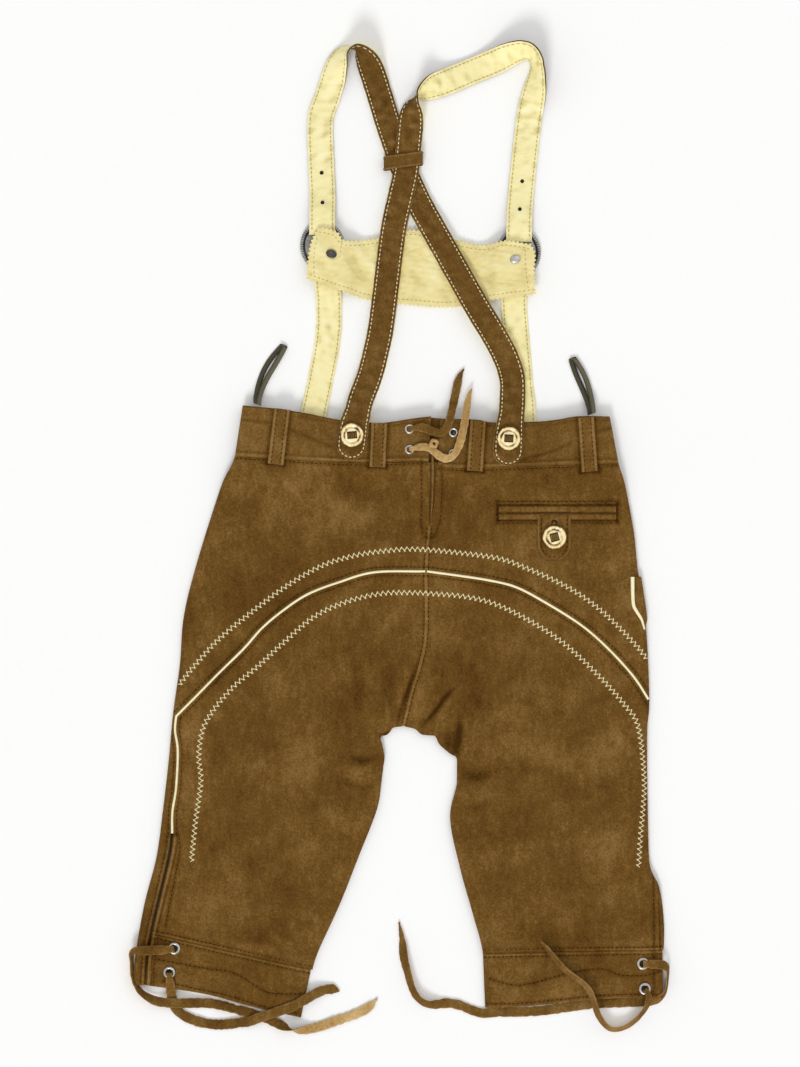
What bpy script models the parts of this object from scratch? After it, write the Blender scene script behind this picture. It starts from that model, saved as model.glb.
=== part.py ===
"""Knee-length lederhosen of brown suede, laid flat with the back up.

The trousers lie in the XY plane, waist towards +Y, and the floor is z = 0. The front of the
garment faces down. The straps, with a cream lining, are spread above the waist, and the laces
of the two hems and of the waist lie loose. Tables are in millimetres, from the centre of the
whole garment, near enough; metres are made only where meshes are built.
"""

import math

import bmesh
import bpy
import numpy as np

# ---------------------------------------------------------------- driving sizes, in millimetres
MM = 0.001
SUEDE = 1.6             # thickness of the trouser leather
THIN = 1.2              # thickness of strap leather, strap lining and bib
GAP = 0.3               # clearance between pieces that touch
EASE = 0.8              # the same, where a straight facet meets another's curve
EDGE = 3.9              # height of the flat garment at its outline
FULLNESS = 3.0          # how much higher the back stands inside the outline
FULLNESS_REACH = 12.0   # how fast it gets there
WAIST_FULLNESS = 0.32   # share of the fullness that is left at the waistband
WAIST_LIFT = 4.9        # the front strap ends under the waistband lift it by this
RAMP = (24.0, 62.0)     # from here to here the lift grows, along Y
LACE_ROOM = 1.8         # the laces raise the outer corners of the hems by this
LACE_ROOM_X = (205.0, 222.0)
LACE_ROOM_Y = (338.0, 360.0)
LIP = 2.8               # how far the left front turns onto the back above the seat arch
STRAP_WIDTH = 23.0
TAB_WIDTH = 27.0
LACE_WIDTH = 8.0
LACE_THICK = 1.4
BUTTON_DIAMETER = 22.0
EYELET_DIAMETER = 11.0
WAIST_EYELET_DIAMETER = 9.0
PIPING_WIDTH = 3.0
GUSSET = 0.8            # thickness of the insert under the waist slit

# The tables' frame is moved by this, so that the middle of the garment's box is the origin.
PLACE = (1.236, -2.710, 0.0)

# ---------------------------------------------------------------- outlines: (x, y), top to bottom
OUTER_LEFT = [(-141, 115), (-148, 70), (-160, 44), (-174, 2), (-187, -42), (-195, -78),
              (-198, -118), (-204, -161), (-208, -204), (-213, -247), (-219, -291),
              (-230, -334), (-237.5, -377), (-240, -398), (-239, -405)]
OUTER_RIGHT = [(188, 105), (196, 63), (202, 44), (210, 2), (213.5, -31), (221, -85),
               (224, -150), (222, -183), (223, -269), (225, -300), (233, -318), (235.5, -345),
               (237, -400), (236.5, -417)]
INNER_LEFT = [(3, -173.5), (-6, -174), (-17, -182), (-14.5, -204), (-17, -226), (-21, -249),
              (-37, -290), (-54, -333), (-74, -377), (-80, -398), (-89, -434)]
INNER_RIGHT = [(3.5, -173.5), (14, -175), (31, -181), (38, -192), (51, -200), (51, -225),
               (45, -256), (54, -301), (66, -344), (74.5, -378), (76.5, -426)]
CENTRE_SEAM = [(26.5, 8), (23.5, -33), (22.5, -97), (10, -144), (3.2, -173)]
SLIT_LEFT = [(27, 63), (26.4, 30), (26.5, 8)]
SLIT_RIGHT = [(33, 60), (31, 30), (26.9, 8)]

WAIST_TOP = [(-141, 115), (-112, 112), (-85, 108), (-55, 102), (-26, 99.5), (-11, 99.5),
             (4, 102), (28, 105), (38, 103), (69, 102), (85, 99.5), (133, 101), (158, 105),
             (188, 105)]
WAIST_SEAM = [(-148, 70), (-118, 68), (-66, 65), (-30, 64), (22, 65), (37, 60.5), (59, 59),
              (94, 60), (162, 62.5), (196, 63.5)]
SEAT_ARCH_LEFT = [(23.4, -33.8), (-23, -34.7), (-55, -43.7), (-83, -54.5), (-105, -69),
                  (-124, -85), (-140, -103), (-163, -125.6), (-185, -148), (-201, -164)]
SEAT_ARCH_RIGHT = [(23.4, -33.8), (53, -37.8), (80, -42), (104, -48), (129, -61), (161, -81),
                   (184.5, -101), (209, -127.5), (224.5, -151)]
SIDE_PIPING = [(-201, -164), (-202, -177), (-199.5, -195), (-201, -228), (-204.3, -250),
               (-204.5, -271)]
SIDE_SLIT = [(-204.5, -271), (-207.5, -291), (-222, -352), (-223, -359)]
CUFF_SEAM_LEFT = [(-223, -359), (-150, -376), (-80, -392)]
CUFF_SEAM_RIGHT = [(74.5, -377.6), (128, -376), (236, -374)]
HEM_LEFT = [(-229, -405.5), (-175, -414), (-134, -425), (-89, -435)]
HEM_RIGHT = [(76.5, -426), (112, -425), (186, -418), (236.5, -417.3)]

# ---------------------------------------------------------------- colours: (r, g, b), roughness
SUEDE_BROWN = ((0.17, 0.085, 0.024), 0.9)
DARK_BROWN = ((0.12, 0.06, 0.02), 0.9)
CREAM = ((0.85, 0.77, 0.42), 0.7)
TAPE_GREY = ((0.10, 0.09, 0.07), 0.8)
HORN = ((0.55, 0.33, 0.12), 0.4)
SILVER = ((0.6, 0.58, 0.54), 0.35)


# ---------------------------------------------------------------- curves
def smooth(points, step=3.0):
    """A dense Catmull-Rom polyline through the points, which may have any number of columns."""
    points = np.array(points, float)
    ends = np.vstack([2 * points[0] - points[1], points, 2 * points[-1] - points[-2]])
    dense = []
    for before, start, end, after in zip(ends, ends[1:], ends[2:], ends[3:]):
        count = max(2, int(np.linalg.norm((end - start)[:2]) / step))
        for t in np.arange(count) / count:
            dense.append(0.5 * (2 * start + (end - before) * t
                                + (2 * before - 5 * start + 4 * end - after) * t**2
                                + (3 * start - before - 3 * end + after) * t**3))
    dense.append(points[-1])
    return np.array(dense)


def spaced(curve, count, start=0.0, end=1.0):
    """Points at even distances along a dense polyline, from one fraction of it to another."""
    lengths = np.linalg.norm(np.diff(curve[:, :2], axis=0), axis=1)
    way = np.concatenate([[0], np.cumsum(lengths)])
    places = np.linspace(start, end, count) * way[-1]
    return np.array([np.interp(places, way, column) for column in curve.T]).T


def x_at(curve, y):
    """Where a curve that runs downwards is at height y."""
    return float(np.interp(-y, -curve[:, 1], curve[:, 0]))


def y_at(curve, x):
    order = np.argsort(curve[:, 0])
    return float(np.interp(x, curve[order, 0], curve[order, 1]))


OUTLINE = {name: smooth(table) for name, table in {
    "outer_left": OUTER_LEFT, "outer_right": OUTER_RIGHT, "inner_left": INNER_LEFT,
    "inner_right": INNER_RIGHT}.items()}
BORDER = np.vstack([*OUTLINE.values(), smooth(HEM_LEFT), smooth(HEM_RIGHT)])


# ---------------------------------------------------------------- heights of the layers
def smoothstep(value, start, end):
    t = min(1.0, max(0.0, (value - start) / (end - start)))
    return t * t * (3 - 2 * t)


def waist_share(y):
    return smoothstep(y, *RAMP)


def lift(x, y):
    """How far the garment is raised from the floor: at the waist, and over the hem laces."""
    corner = smoothstep(abs(x), *LACE_ROOM_X) * smoothstep(-y, *LACE_ROOM_Y)
    return WAIST_LIFT * waist_share(y) + LACE_ROOM * corner


def back_top(x, y):
    """Height of the upper face of the back panels."""
    inside = float(np.min(np.hypot(BORDER[:, 0] - x, BORDER[:, 1] - y)))
    full = FULLNESS * (1 - math.exp(-inside / FULLNESS_REACH))
    full *= 1 - (1 - WAIST_FULLNESS) * waist_share(y)
    return EDGE + lift(x, y) + full


# ---------------------------------------------------------------- mesh tools
def material(name, colour):
    (red, green, blue), roughness = colour
    finish = bpy.data.materials.new(name)
    finish.use_nodes = True
    shader = finish.node_tree.nodes["Principled BSDF"]
    shader.inputs["Base Color"].default_value = (red, green, blue, 1)
    shader.inputs["Roughness"].default_value = roughness
    shader.inputs["Metallic"].default_value = 1.0 if colour is SILVER else 0.0
    return finish


def add_object(name, points, faces, colour, smooth_angle=40):
    """A mesh object from points in millimetres; its faces are turned outwards."""
    mesh = bpy.data.meshes.new(name)
    placed = (np.array(points, float) + PLACE) * MM
    mesh.from_pydata(placed.tolist(), [], faces)
    work = bmesh.new()
    work.from_mesh(mesh)
    bmesh.ops.recalc_face_normals(work, faces=work.faces)
    work.to_mesh(mesh)
    work.free()
    mesh.shade_smooth()
    mesh.set_sharp_from_angle(angle=math.radians(smooth_angle))
    mesh.materials.append(material(name, colour))
    made = bpy.data.objects.new(name, mesh)
    bpy.context.collection.objects.link(made)
    return made


def shell(name, outer, inner, colour, ring=False):
    """A closed wall between two grids of points with the same rows and columns.

    With ring, each row closes on itself, and only the first and last rows get an end."""
    outer, inner = np.array(outer, float), np.array(inner, float)
    rows, columns = outer.shape[:2]
    points = np.vstack([outer.reshape(-1, 3), inner.reshape(-1, 3)])
    base = rows * columns
    faces = []
    spans = columns if ring else columns - 1
    for row in range(rows - 1):
        for column in range(spans):
            a, b = row * columns + column, row * columns + (column + 1) % columns
            faces.append((a, b, b + columns, a + columns))
            faces.append((base + a, base + a + columns, base + b + columns, base + b))
    for column in range(spans):
        for row in (0, rows - 1):
            a, b = row * columns + column, row * columns + (column + 1) % columns
            faces.append((a, base + a, base + b, b))
    if not ring:
        for row in range(rows - 1):
            for column in (0, columns - 1):
                a = row * columns + column
                faces.append((a, a + columns, base + a + columns, base + a))
    return add_object(name, points, faces, colour)


def slab(name, flat, under, thick, colour):
    """A sheet over a grid of (x, y): under(x, y) is its lower face."""
    low = [[(x, y, under(x, y)) for x, y in row] for row in flat]
    high = [[(x, y, z + thick) for x, y, z in row] for row in low]
    return shell(name, high, low, colour)


def coons(bottom, top, left, right, across, along):
    """A grid of (x, y) between four curves; left and right run from bottom to top."""
    bottom, top = spaced(bottom, across + 1), spaced(top, across + 1)
    left, right = spaced(left, along + 1), spaced(right, along + 1)
    grid = []
    for j, v in enumerate(np.linspace(0, 1, along + 1)):
        row = []
        for i, u in enumerate(np.linspace(0, 1, across + 1)):
            corners = ((1 - u) * (1 - v) * bottom[0] + u * (1 - v) * bottom[-1]
                       + (1 - u) * v * top[0] + u * v * top[-1])
            row.append((1 - v) * bottom[i] + v * top[i] + (1 - u) * left[j] + u * right[j]
                       - corners)
        grid.append(row)
    return np.array(grid)


def inset(grid, distance=GAP / 2 + 0.05):
    """Pulls the four sides of a grid inwards, so that neighbours stay clear of each other."""
    moved = grid.copy()
    for side, neighbour in ((np.s_[0], np.s_[1]), (np.s_[-1], np.s_[-2]),
                            (np.s_[:, 0], np.s_[:, 1]), (np.s_[:, -1], np.s_[:, -2])):
        line = grid[side]
        tangent = np.gradient(line, axis=0)
        normal = np.stack([-tangent[:, 1], tangent[:, 0]], axis=1)
        normal /= np.linalg.norm(normal, axis=1, keepdims=True)
        inward = np.sign(np.sum(normal * (grid[neighbour] - line), axis=1, keepdims=True))
        moved[side] += normal * inward * distance
    return moved


def reverse(curve):
    return curve[::-1]


def join(*curves):
    """One polyline from curves that follow each other."""
    return np.vstack([curves[0]] + [curve[1:] for curve in curves[1:]])


def between(curve, x_start, x_end, count=40):
    """The stretch of a curve from one x to another."""
    return np.array([(x, y_at(curve, x)) for x in np.linspace(x_start, x_end, count)])


def down(curve, y_start, y_end, count=40):
    """The stretch of a curve from one height to another."""
    return np.array([(x_at(curve, y), y) for y in np.linspace(y_start, y_end, count)])


# ---------------------------------------------------------------- scene
for old in list(bpy.data.objects):
    bpy.data.objects.remove(old, do_unlink=True)


# ---------------------------------------------------------------- back panels
def on_back(clearance=0.0):
    return lambda x, y: back_top(x, y) + clearance


def under_back(x, y):
    return back_top(x, y) - SUEDE


def inside_edge(curve, distance):
    """The curve moved sideways, towards the middle of the garment if distance is positive."""
    moved = np.array(curve[:, :2])
    moved[:, 0] -= np.sign(moved[:, 0]) * distance
    return moved


def back_panels():
    arch_left = smooth(SEAT_ARCH_LEFT)
    arch_right = smooth(SEAT_ARCH_RIGHT)
    seam = smooth(CENTRE_SEAM)
    waist = smooth(WAIST_SEAM) - (0, EASE)
    below_arch = down(seam, -33.6, -173)
    hip = inside_edge(down(OUTLINE["outer_left"], -163, 69.5), LIP + EASE)
    left_top = between(waist, hip[-1][0], 27)
    left_middle = reverse(join(smooth(SLIT_LEFT), down(seam, 8, -33.8)))
    right_hip = down(OUTLINE["outer_right"], -151, 63.5)
    right_top = between(waist, 33, 196)
    right_middle = reverse(join(smooth(SLIT_RIGHT), down(seam, 8, -33.8)))
    yoke_left = coons(reverse(arch_left), left_top, hip, left_middle, 12, 8)
    yoke_right = coons(arch_right, right_top, right_middle, right_hip, 12, 8)
    slab("back_yoke_left", inset(yoke_left), under_back, SUEDE, SUEDE_BROWN)
    slab("back_yoke_right", inset(yoke_right), under_back, SUEDE, SUEDE_BROWN)

    side = join(smooth(SIDE_PIPING), smooth(SIDE_SLIT))
    inner = join(below_arch, down(OUTLINE["inner_left"], -173.5, -392))
    leg_left = coons(smooth(CUFF_SEAM_LEFT), reverse(arch_left), reverse(side),
                     reverse(inner), 12, 14)
    inner = join(below_arch, down(OUTLINE["inner_right"], -173.5, -377.6))
    outer = down(OUTLINE["outer_right"], -151, -374)
    leg_right = coons(smooth(CUFF_SEAM_RIGHT), arch_right, reverse(inner),
                      reverse(outer), 12, 14)
    slab("back_leg_left", inset(leg_left), under_back, SUEDE, SUEDE_BROWN)
    slab("back_leg_right", inset(leg_right), under_back, SUEDE, SUEDE_BROWN)


def gusset():
    """The dark insert that shows through the slit below the waistband."""
    flat = [[(x, y) for x in (20.0, 29.0, 38.0)] for y in np.linspace(0, 64, 6)]
    slab("back_gusset", flat, lambda x, y: under_back(x, y) - GUSSET - 0.35, GUSSET,
         DARK_BROWN)


back_panels()
gusset()


# ---------------------------------------------------------------- front panels and cuffs
ROUND = EDGE / 2        # radius of the fold at the outline
FLAP = {"left": -49.0, "right": 101.0, "bottom": -72.0}
# Each row of a front panel is a line from the outer edge to the inner one: y at both ends.
FRONT_LEFT_ROWS = [(68.5, 62.6), (62, 58), (50, 50), (38, 38), (24, 24), (0, 0), (-36, -36),
                   (-70.5, -70.5), (-73.5, -73.5), (-110, -110), (-145, -145), (-160, -163),
                   (-168, -172.5), (-178, -181), (-200, -204), (-226, -226), (-249, -258),
                   (-270, -290), (-300, -322), (-330, -357), (-356, -390.5)]
FRONT_RIGHT_ROWS = [(62, 58), (50, 50), (38, 38), (24, 24), (0, 0), (-36, -36),
                    (-70.5, -70.5), (-73.5, -73.5), (-110, -110), (-145, -145),
                    (-163, -163), (-170, -172.5), (-176, -180), (-184, -192), (-198, -202),
                    (-226, -226), (-257, -257), (-300, -301), (-345, -345), (-373, -376)]
ARC = np.radians([-90, -45, 0, 45, 90])


def inner_edge(side, y):
    """x of the front panel's inner edge: beside the flap, at the centre seam or on the leg."""
    if y > FLAP["bottom"]:
        return FLAP[side]
    if y > -173:
        return x_at(smooth(CENTRE_SEAM), y)
    return x_at(OUTLINE["inner_" + side], y)


def on_line(x, start, end):
    """y of the straight line between two points at x."""
    return start[1] + (end[1] - start[1]) * (x - start[0]) / (end[0] - start[0])


def front_left():
    """The left front wraps round the outline onto the back, as far as the side piping."""
    side = join(smooth(SIDE_PIPING), smooth(SIDE_SLIT))
    outer, inner = [], []
    for y_outer, y_inner in FRONT_LEFT_ROWS:
        start = (inner_edge("left", y_inner) - GAP, y_inner)
        fold = (x_at(OUTLINE["outer_left"], y_outer) + ROUND, y_outer)
        seam = (x_at(side, y_outer) - EASE if y_outer < -164 else fold[0] - ROUND + LIP, y_outer)
        seam = (max(seam[0], fold[0] + 0.4), y_outer)
        out_row, in_row = [], []
        for x in np.linspace(start[0], fold[0], 7):
            y = on_line(x, start, fold)
            out_row.append((x, y, lift(x, y)))
            in_row.append((x, y, lift(x, y) + SUEDE))
        for angle in ARC[1:-1]:
            for row, radius in ((out_row, ROUND), (in_row, ROUND - SUEDE)):
                row.append((fold[0] - radius * math.cos(angle), y_outer,
                            lift(fold[0], y_outer) + ROUND + radius * math.sin(angle)))
        for x in np.linspace(fold[0], seam[0], 4):
            top = back_top(x, y_outer)
            out_row.append((x, y_outer, top))
            in_row.append((x, y_outer, top - SUEDE))
        outer.append(out_row)
        inner.append(in_row)
    shell("front_left", outer, inner, SUEDE_BROWN)


def front_right():
    """The right front ends at the outline, and stands a little proud of it beside the slit."""
    flat = []
    for y_outer, y_inner in FRONT_RIGHT_ROWS:
        start = (inner_edge("right", y_inner) + GAP, y_inner)
        proud = 2.0 * math.exp(-((y_outer + 350) / 30) ** 2)
        end = (x_at(OUTLINE["outer_right"], y_outer) + proud - 0.5, y_outer)
        flat.append([(x, on_line(x, start, end)) for x in np.linspace(start[0], end[0], 7)])
    slab("front_right", flat, lift, SUEDE, SUEDE_BROWN)


def flap():
    """The drop flap of the front, between the two front panels."""
    corner = 8.0
    flat = []
    for y in (FLAP["bottom"] + 1.8, FLAP["bottom"] + 5, FLAP["bottom"] + 12, -36, 0, 24, 38,
              50, 58):
        short = max(0.0, corner - (y - FLAP["bottom"])) * 0.6
        flat.append([(x, y) for x in np.linspace(FLAP["left"] + GAP + short,
                                                 FLAP["right"] - GAP - short, 5)])
    slab("flap", flat, lift, SUEDE, SUEDE_BROWN)


def cuff(name, seam, hem, wraps):
    """A band round a leg, from one edge of the slit to the other. Its slit is at the outline, or,
    when it wraps, on the back beside it."""
    side = math.copysign(1, seam[:, 0].mean())
    outer, inner = [], []
    for share in (0.0, 0.35, 0.7, 1.0):
        row = seam * (1 - share) + hem * share - (0, EASE / 2)
        slit, knee = max(abs(row[:, 0])), min(abs(row[:, 0]))
        fold_in = knee + ROUND
        out_row, in_row = [], []

        def add(x, z, x_in, z_in):
            """One point of each face; x is the distance from the middle of the garment."""
            out_row.append((side * x, y_at(row, side * x), z))
            in_row.append((side * x_in, y_at(row, side * x_in), z_in))

        def lay(start, end, count, face, wall):
            for x in np.linspace(start, end, count):
                z = face(side * x, y_at(row, side * x))
                add(x, z, x, z + wall)

        def turn(centre, angles, way):
            base = lift(side * centre, y_at(row, side * centre)) + ROUND
            for angle in angles:
                add(centre + way * ROUND * math.cos(angle), base + ROUND * math.sin(angle),
                    centre + way * (ROUND - SUEDE) * math.cos(angle),
                    base + (ROUND - SUEDE) * math.sin(angle))

        lay(slit - 0.4, fold_in, 11, back_top, -SUEDE)
        turn(fold_in, ARC[::-1][1:], -1)
        if wraps:
            fold_out = abs(x_at(OUTLINE["outer_left"], row[0, 1])) - ROUND
            lay(fold_in, fold_out, 9, lift, SUEDE)
            turn(fold_out, ARC[1:-1], 1)
            lay(fold_out, slit + 0.4, 4, back_top, -SUEDE)
        else:
            lay(fold_in, slit - 0.6, 9, lift, SUEDE)
        outer.append(out_row)
        inner.append(in_row)
    shell(name, outer, inner, SUEDE_BROWN)


front_left()
front_right()
flap()
cuff("cuff_left", spaced(smooth(CUFF_SEAM_LEFT), 30), spaced(smooth(HEM_LEFT), 30), True)
cuff("cuff_right", spaced(smooth(CUFF_SEAM_RIGHT), 30), spaced(smooth(HEM_RIGHT), 30), False)


# ---------------------------------------------------------------- waistband and trims
FRONT_WAIST_SEAM = [(-148, 70), (-66, 65), (22, 61), (94, 59.5), (196, 63.5)]


def waistband():
    """Two back halves, apart at the slit, and one front band below them."""
    seam, top = smooth(WAIST_SEAM), smooth(WAIST_TOP)
    for name, start, end, count in (("waistband_back_left", (-148, -141), (25.5, 28), 14),
                                    ("waistband_back_right", (34, 36), (196, 188), 12)):
        low = between(seam, start[0], end[0])
        high = between(top, start[1], end[1])
        flat = coons(low, high, np.array([low[0], high[0]]), np.array([low[-1], high[-1]]),
                     count, 3)
        slab(name, inset(flat), under_back, SUEDE, SUEDE_BROWN)
    low, high = smooth(FRONT_WAIST_SEAM), top
    flat = coons(low, high, np.array([low[0], high[0]]), np.array([low[-1], high[-1]]), 16, 2)
    slab("waistband_front", inset(flat), lift, SUEDE, SUEDE_BROWN)


def trim(name, curve, count, width, clearance, thick, colour, edge_start=0.0, edge_end=1.0):
    """A strip along a curve on the back, made from the back's own heights."""
    centre = spaced(curve, count, edge_start, edge_end)
    tangent = np.gradient(centre, axis=0)
    across = np.stack([-tangent[:, 1], tangent[:, 0]], axis=1)
    across /= np.linalg.norm(across, axis=1, keepdims=True)
    flat = [[c + a * width / 2 * way for way in (-1, 1)] for c, a in zip(centre, across)]
    slab(name, flat, on_back(clearance), thick, colour)


# name, top (x, y), bottom (x, y)
BELT_LOOPS = [("belt_loop_1", (-105.5, 111.5), (-111.5, 62.0)),
              ("belt_loop_2", (-18.5, 99.0), (-20.2, 59.5)),
              ("belt_loop_3", (70.0, 101.0), (67.0, 56.0)),
              ("belt_loop_4", (166.5, 104.0), (170.0, 55.5))]
LOOP_WIDTH = 15.0


def trims():
    arch_left = join(smooth(SEAT_ARCH_LEFT), smooth(SIDE_PIPING))
    trim("piping_left", arch_left, 36, PIPING_WIDTH, GAP, 1.2, CREAM, 0.006, 0.99)
    trim("piping_right", smooth(SEAT_ARCH_RIGHT), 26, PIPING_WIDTH, GAP, 1.2, CREAM, 0.008, 0.985)
    for name, top, bottom in BELT_LOOPS:
        trim(name, np.array([top, bottom], float), 4, LOOP_WIDTH, GAP, 1.8, SUEDE_BROWN)


# ---------------------------------------------------------------- pockets
POCKET_X = (88.0, 194.0)
WELTS = [("pocket_welt_upper", 18.8, 25.2), ("pocket_welt_lower", 12.0, 18.4)]
TAB_X, TAB_TOP, TAB_ROUND_Y = 138.2, 16.0, -9.5
TAB_HALF = 15.0
POCKET_BUTTON = (138.2, -3.3)
WELT_THICK = 1.4
ON_BACK = 0.7           # clearance of the pocket above the facets of the back
# The binding's centre line along the edge of the knife pocket: (x, y)
KNIFE_EDGE = [(208.8, -39), (209.6, -64), (213, -71), (217.6, -79)]
BINDING_WIDTH = 3.6


def pockets():
    for name, low, high in WELTS:
        flat = [[(x, y) for x in np.linspace(*POCKET_X, 9)] for y in (low, high)]
        slab(name, flat, on_back(ON_BACK), WELT_THICK, SUEDE_BROWN)
    flat = []
    for angle in np.linspace(0, math.pi / 2, 6)[::-1][1:]:
        half = max(1.0, TAB_HALF * math.cos(angle))
        flat.append([(TAB_X + half * way, TAB_ROUND_Y - TAB_HALF * math.sin(angle))
                     for way in (-1, 0, 1)])
    flat.append([(TAB_X + TAB_HALF * way, TAB_TOP) for way in (-1, 0, 1)])
    slab("pocket_tab", flat, on_back(ON_BACK + GAP + WELT_THICK), SUEDE, SUEDE_BROWN)


def knife_pocket():
    """A narrow pocket on the right side seam, turned round the outline, with a cream binding."""
    outer, inner = [], []
    edge = smooth(KNIFE_EDGE)
    for y in (-39, -51, -64, -71, -78, -84):
        outline = x_at(OUTLINE["outer_right"], y)
        start = min(x_at(edge, y) + BINDING_WIDTH / 2 + 0.5, outline - 1.2)
        out_row, in_row = [], []
        for x in (start, outline):
            z = back_top(x, y) + GAP
            in_row.append((x, y, z))
            out_row.append((x, y, z + SUEDE))
        in_row.append((outline + 0.5, y, back_top(outline, y) - 0.4))
        out_row.append((outline + 0.5 + SUEDE, y, back_top(outline, y) + 0.4))
        in_row.append((outline + 0.5, y, GAP))
        out_row.append((outline + 0.5 + SUEDE, y, GAP))
        outer.append(out_row)
        inner.append(in_row)
    shell("knife_pocket", outer, inner, SUEDE_BROWN)
    trim("knife_pocket_binding", edge, 8, BINDING_WIDTH, GAP, 1.6, CREAM)


# ---------------------------------------------------------------- straps, laces and loops
def tube(name, rings, colour, band=False):
    """A closed body from rings with the same number of points, in order along it.

    On a band, whose rings have four corners, the triangles of both broad faces run the same
    way, so that the layers of a twisted strap stay apart."""
    rings = np.array(rings, float)
    count, around = rings.shape[:2]
    faces = []
    for row in range(count - 1):
        for k in range(around):
            a, b = row * around + k, row * around + (k + 1) % around
            if not band:
                faces.append((a, b, b + around, a + around))
            elif k == 2:
                faces += [(a, b, a + around), (b, b + around, a + around)]
            else:
                faces += [(a, b, b + around), (a, b + around, a + around)]
    faces.append(tuple(range(around)))
    faces.append(tuple((count - 1) * around + k for k in range(around)))
    return add_object(name, rings.reshape(-1, 3), faces, colour)


def strip(name, route, count, width, total, offset, thick, colour, tip=0.0):
    """A flat band along a route with columns x, y, lift, roll.

    lift is the height of its lowest edge, and roll turns it about its own length, in degrees:
    0 shows its outer face upwards, 90 stands it on edge and 180 shows the other face.
    total is the thickness of the whole band, of which this layer is at offset from the middle.
    tip rounds off the start over that length."""
    dense = spaced(smooth(route), count)
    way = np.concatenate([[0], np.cumsum(np.linalg.norm(np.diff(dense[:, :2], axis=0), axis=1))])
    dense[:, 2] = np.maximum(dense[:, 2], 0)
    roll = np.radians(dense[:, 3])
    wide = np.interp(way, *width) if isinstance(width, tuple) else np.full(count, float(width))
    if tip:
        cap = np.clip(1 - way / tip, 0, 0.97)
        wide = wide * np.sqrt(1 - cap**2)
    height = dense[:, 2] + abs(np.sin(roll)) * wide / 2 + abs(np.cos(roll)) * total / 2
    centre = np.column_stack([dense[:, :2], height])
    heading = np.gradient(centre, axis=0)
    heading /= np.linalg.norm(heading, axis=1, keepdims=True)
    rings = []
    for c, h, angle, w in zip(centre, heading, roll, wide):
        side = np.array([h[1], -h[0], 0.0])
        side /= np.linalg.norm(side)
        normal = np.cross(side, h)
        across = side * math.cos(angle) + normal * math.sin(angle)
        out = normal * math.cos(angle) - side * math.sin(angle)
        rings.append([c + across * w / 2 * a + out * (offset + thick / 2 * b)
                      for a, b in ((-1, -1), (1, -1), (1, 1), (-1, 1))])
    return tube(name, rings, colour, band=True)


STRAP_TOTAL = 2 * THIN + GAP
# Routes of the two straps, from the button at the back to the buckle: x, y, lift, roll
STRAP_A = [(-44.8, 66, 10.1, 0), (-43.4, 80, 10.1, 0), (-41, 97, 10.1, 0), (-38, 108, 9.6, 0),
           (-35.1, 120, 7.0, 0), (-27, 142, 3.6, 0), (-21.6, 163, 3.2, 0), (-17.1, 185, 3.2, 0),
           (-12, 225, 3.2, 0), (-6.1, 271, 4.2, 0), (0, 300, 4.5, 0), (5.2, 323, 4.5, 0),
           (7.4, 345, 4.5, 0), (9, 362, 4.4, 0), (10.4, 374, 3.0, 18), (12.4, 385, 0.4, 58),
           (17, 394, 0, 100), (27, 400, 0, 142), (42, 406, 0, 168), (63, 415, 0, 178),
           (84, 423.5, 0, 170), (99, 430, 0, 146), (110, 433, 0, 125), (118, 430.5, 0, 114),
           (122.4, 423, 0, 112), (123, 411, 0, 126), (120.8, 397, 0, 152),
           (117.6, 382, 0, 174), (115.2, 366, 0, 180), (110.7, 325, 0, 180),
           (108.3, 300, 1.0, 180), (107.2, 284, 3.4, 180), (106.8, 262, 3.4, 180)]
STRAP_B = [(96.8, 60.5, 10.1, 0), (97.2, 80, 10.1, 0), (98.6, 97, 10.1, 0), (100, 108, 9.6, 0),
           (100.8, 120, 7.2, 0), (100.5, 140, 4.6, 0), (94, 160, 4.4, 0), (82, 182, 5.2, 0),
           (68, 205, 6.0, 0), (53, 232, 4.6, 0), (38, 259, 3.8, 0), (28, 277, 2.8, 0),
           (19.8, 292, 1.3, 0), (10, 312, 1.3, 0), (2.7, 329, 1.3, 0), (-4, 349, 1.3, 0),
           (-11, 370, 0.4, 0), (-18, 393, 0, 0), (-25, 415, 0, 10), (-31, 428, 0, 45),
           (-40, 435.5, 0, 88), (-50, 432, 0, 120), (-56.5, 420, 0, 150), (-61, 405, 0, 172),
           (-66, 390, 0, 180), (-71.5, 372, 0, 180), (-70.9, 336, 0, 180),
           (-69.6, 306, 1.0, 180), (-69.8, 288, 3.4, 180), (-69.8, 268, 3.4, 180)]
STRAP_FRONT_LEFT = [(-67, 244, 3.4, 180), (-65.5, 228, 3.2, 180), (-64, 212, 1.2, 180),
                    (-63.9, 200, 0, 180), (-64, 185, 0, 180), (-66.6, 163, 0, 180),
                    (-70.7, 142, 0, 180), (-74.7, 122, 0.6, 180), (-77.4, 109, 1.9, 180),
                    (-79, 92, 1.9, 180), (-80, 74, 1.9, 180)]
STRAP_FRONT_RIGHT = [(101, 238, 3.4, 180), (101.6, 226, 3.2, 180), (102.4, 210, 1.2, 180),
                     (103, 198, 0, 180), (104.9, 174, 0, 180), (106.7, 153, 0, 180),
                     (108.5, 131, 0.2, 180), (110, 116, 1.2, 180), (110.3, 109, 1.9, 180),
                     (111.2, 92, 1.9, 180), (112, 74, 1.9, 180)]
TAB_FLARE = ([0, 26, 46, 2000], [TAB_WIDTH, TAB_WIDTH, STRAP_WIDTH, STRAP_WIDTH])


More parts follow.
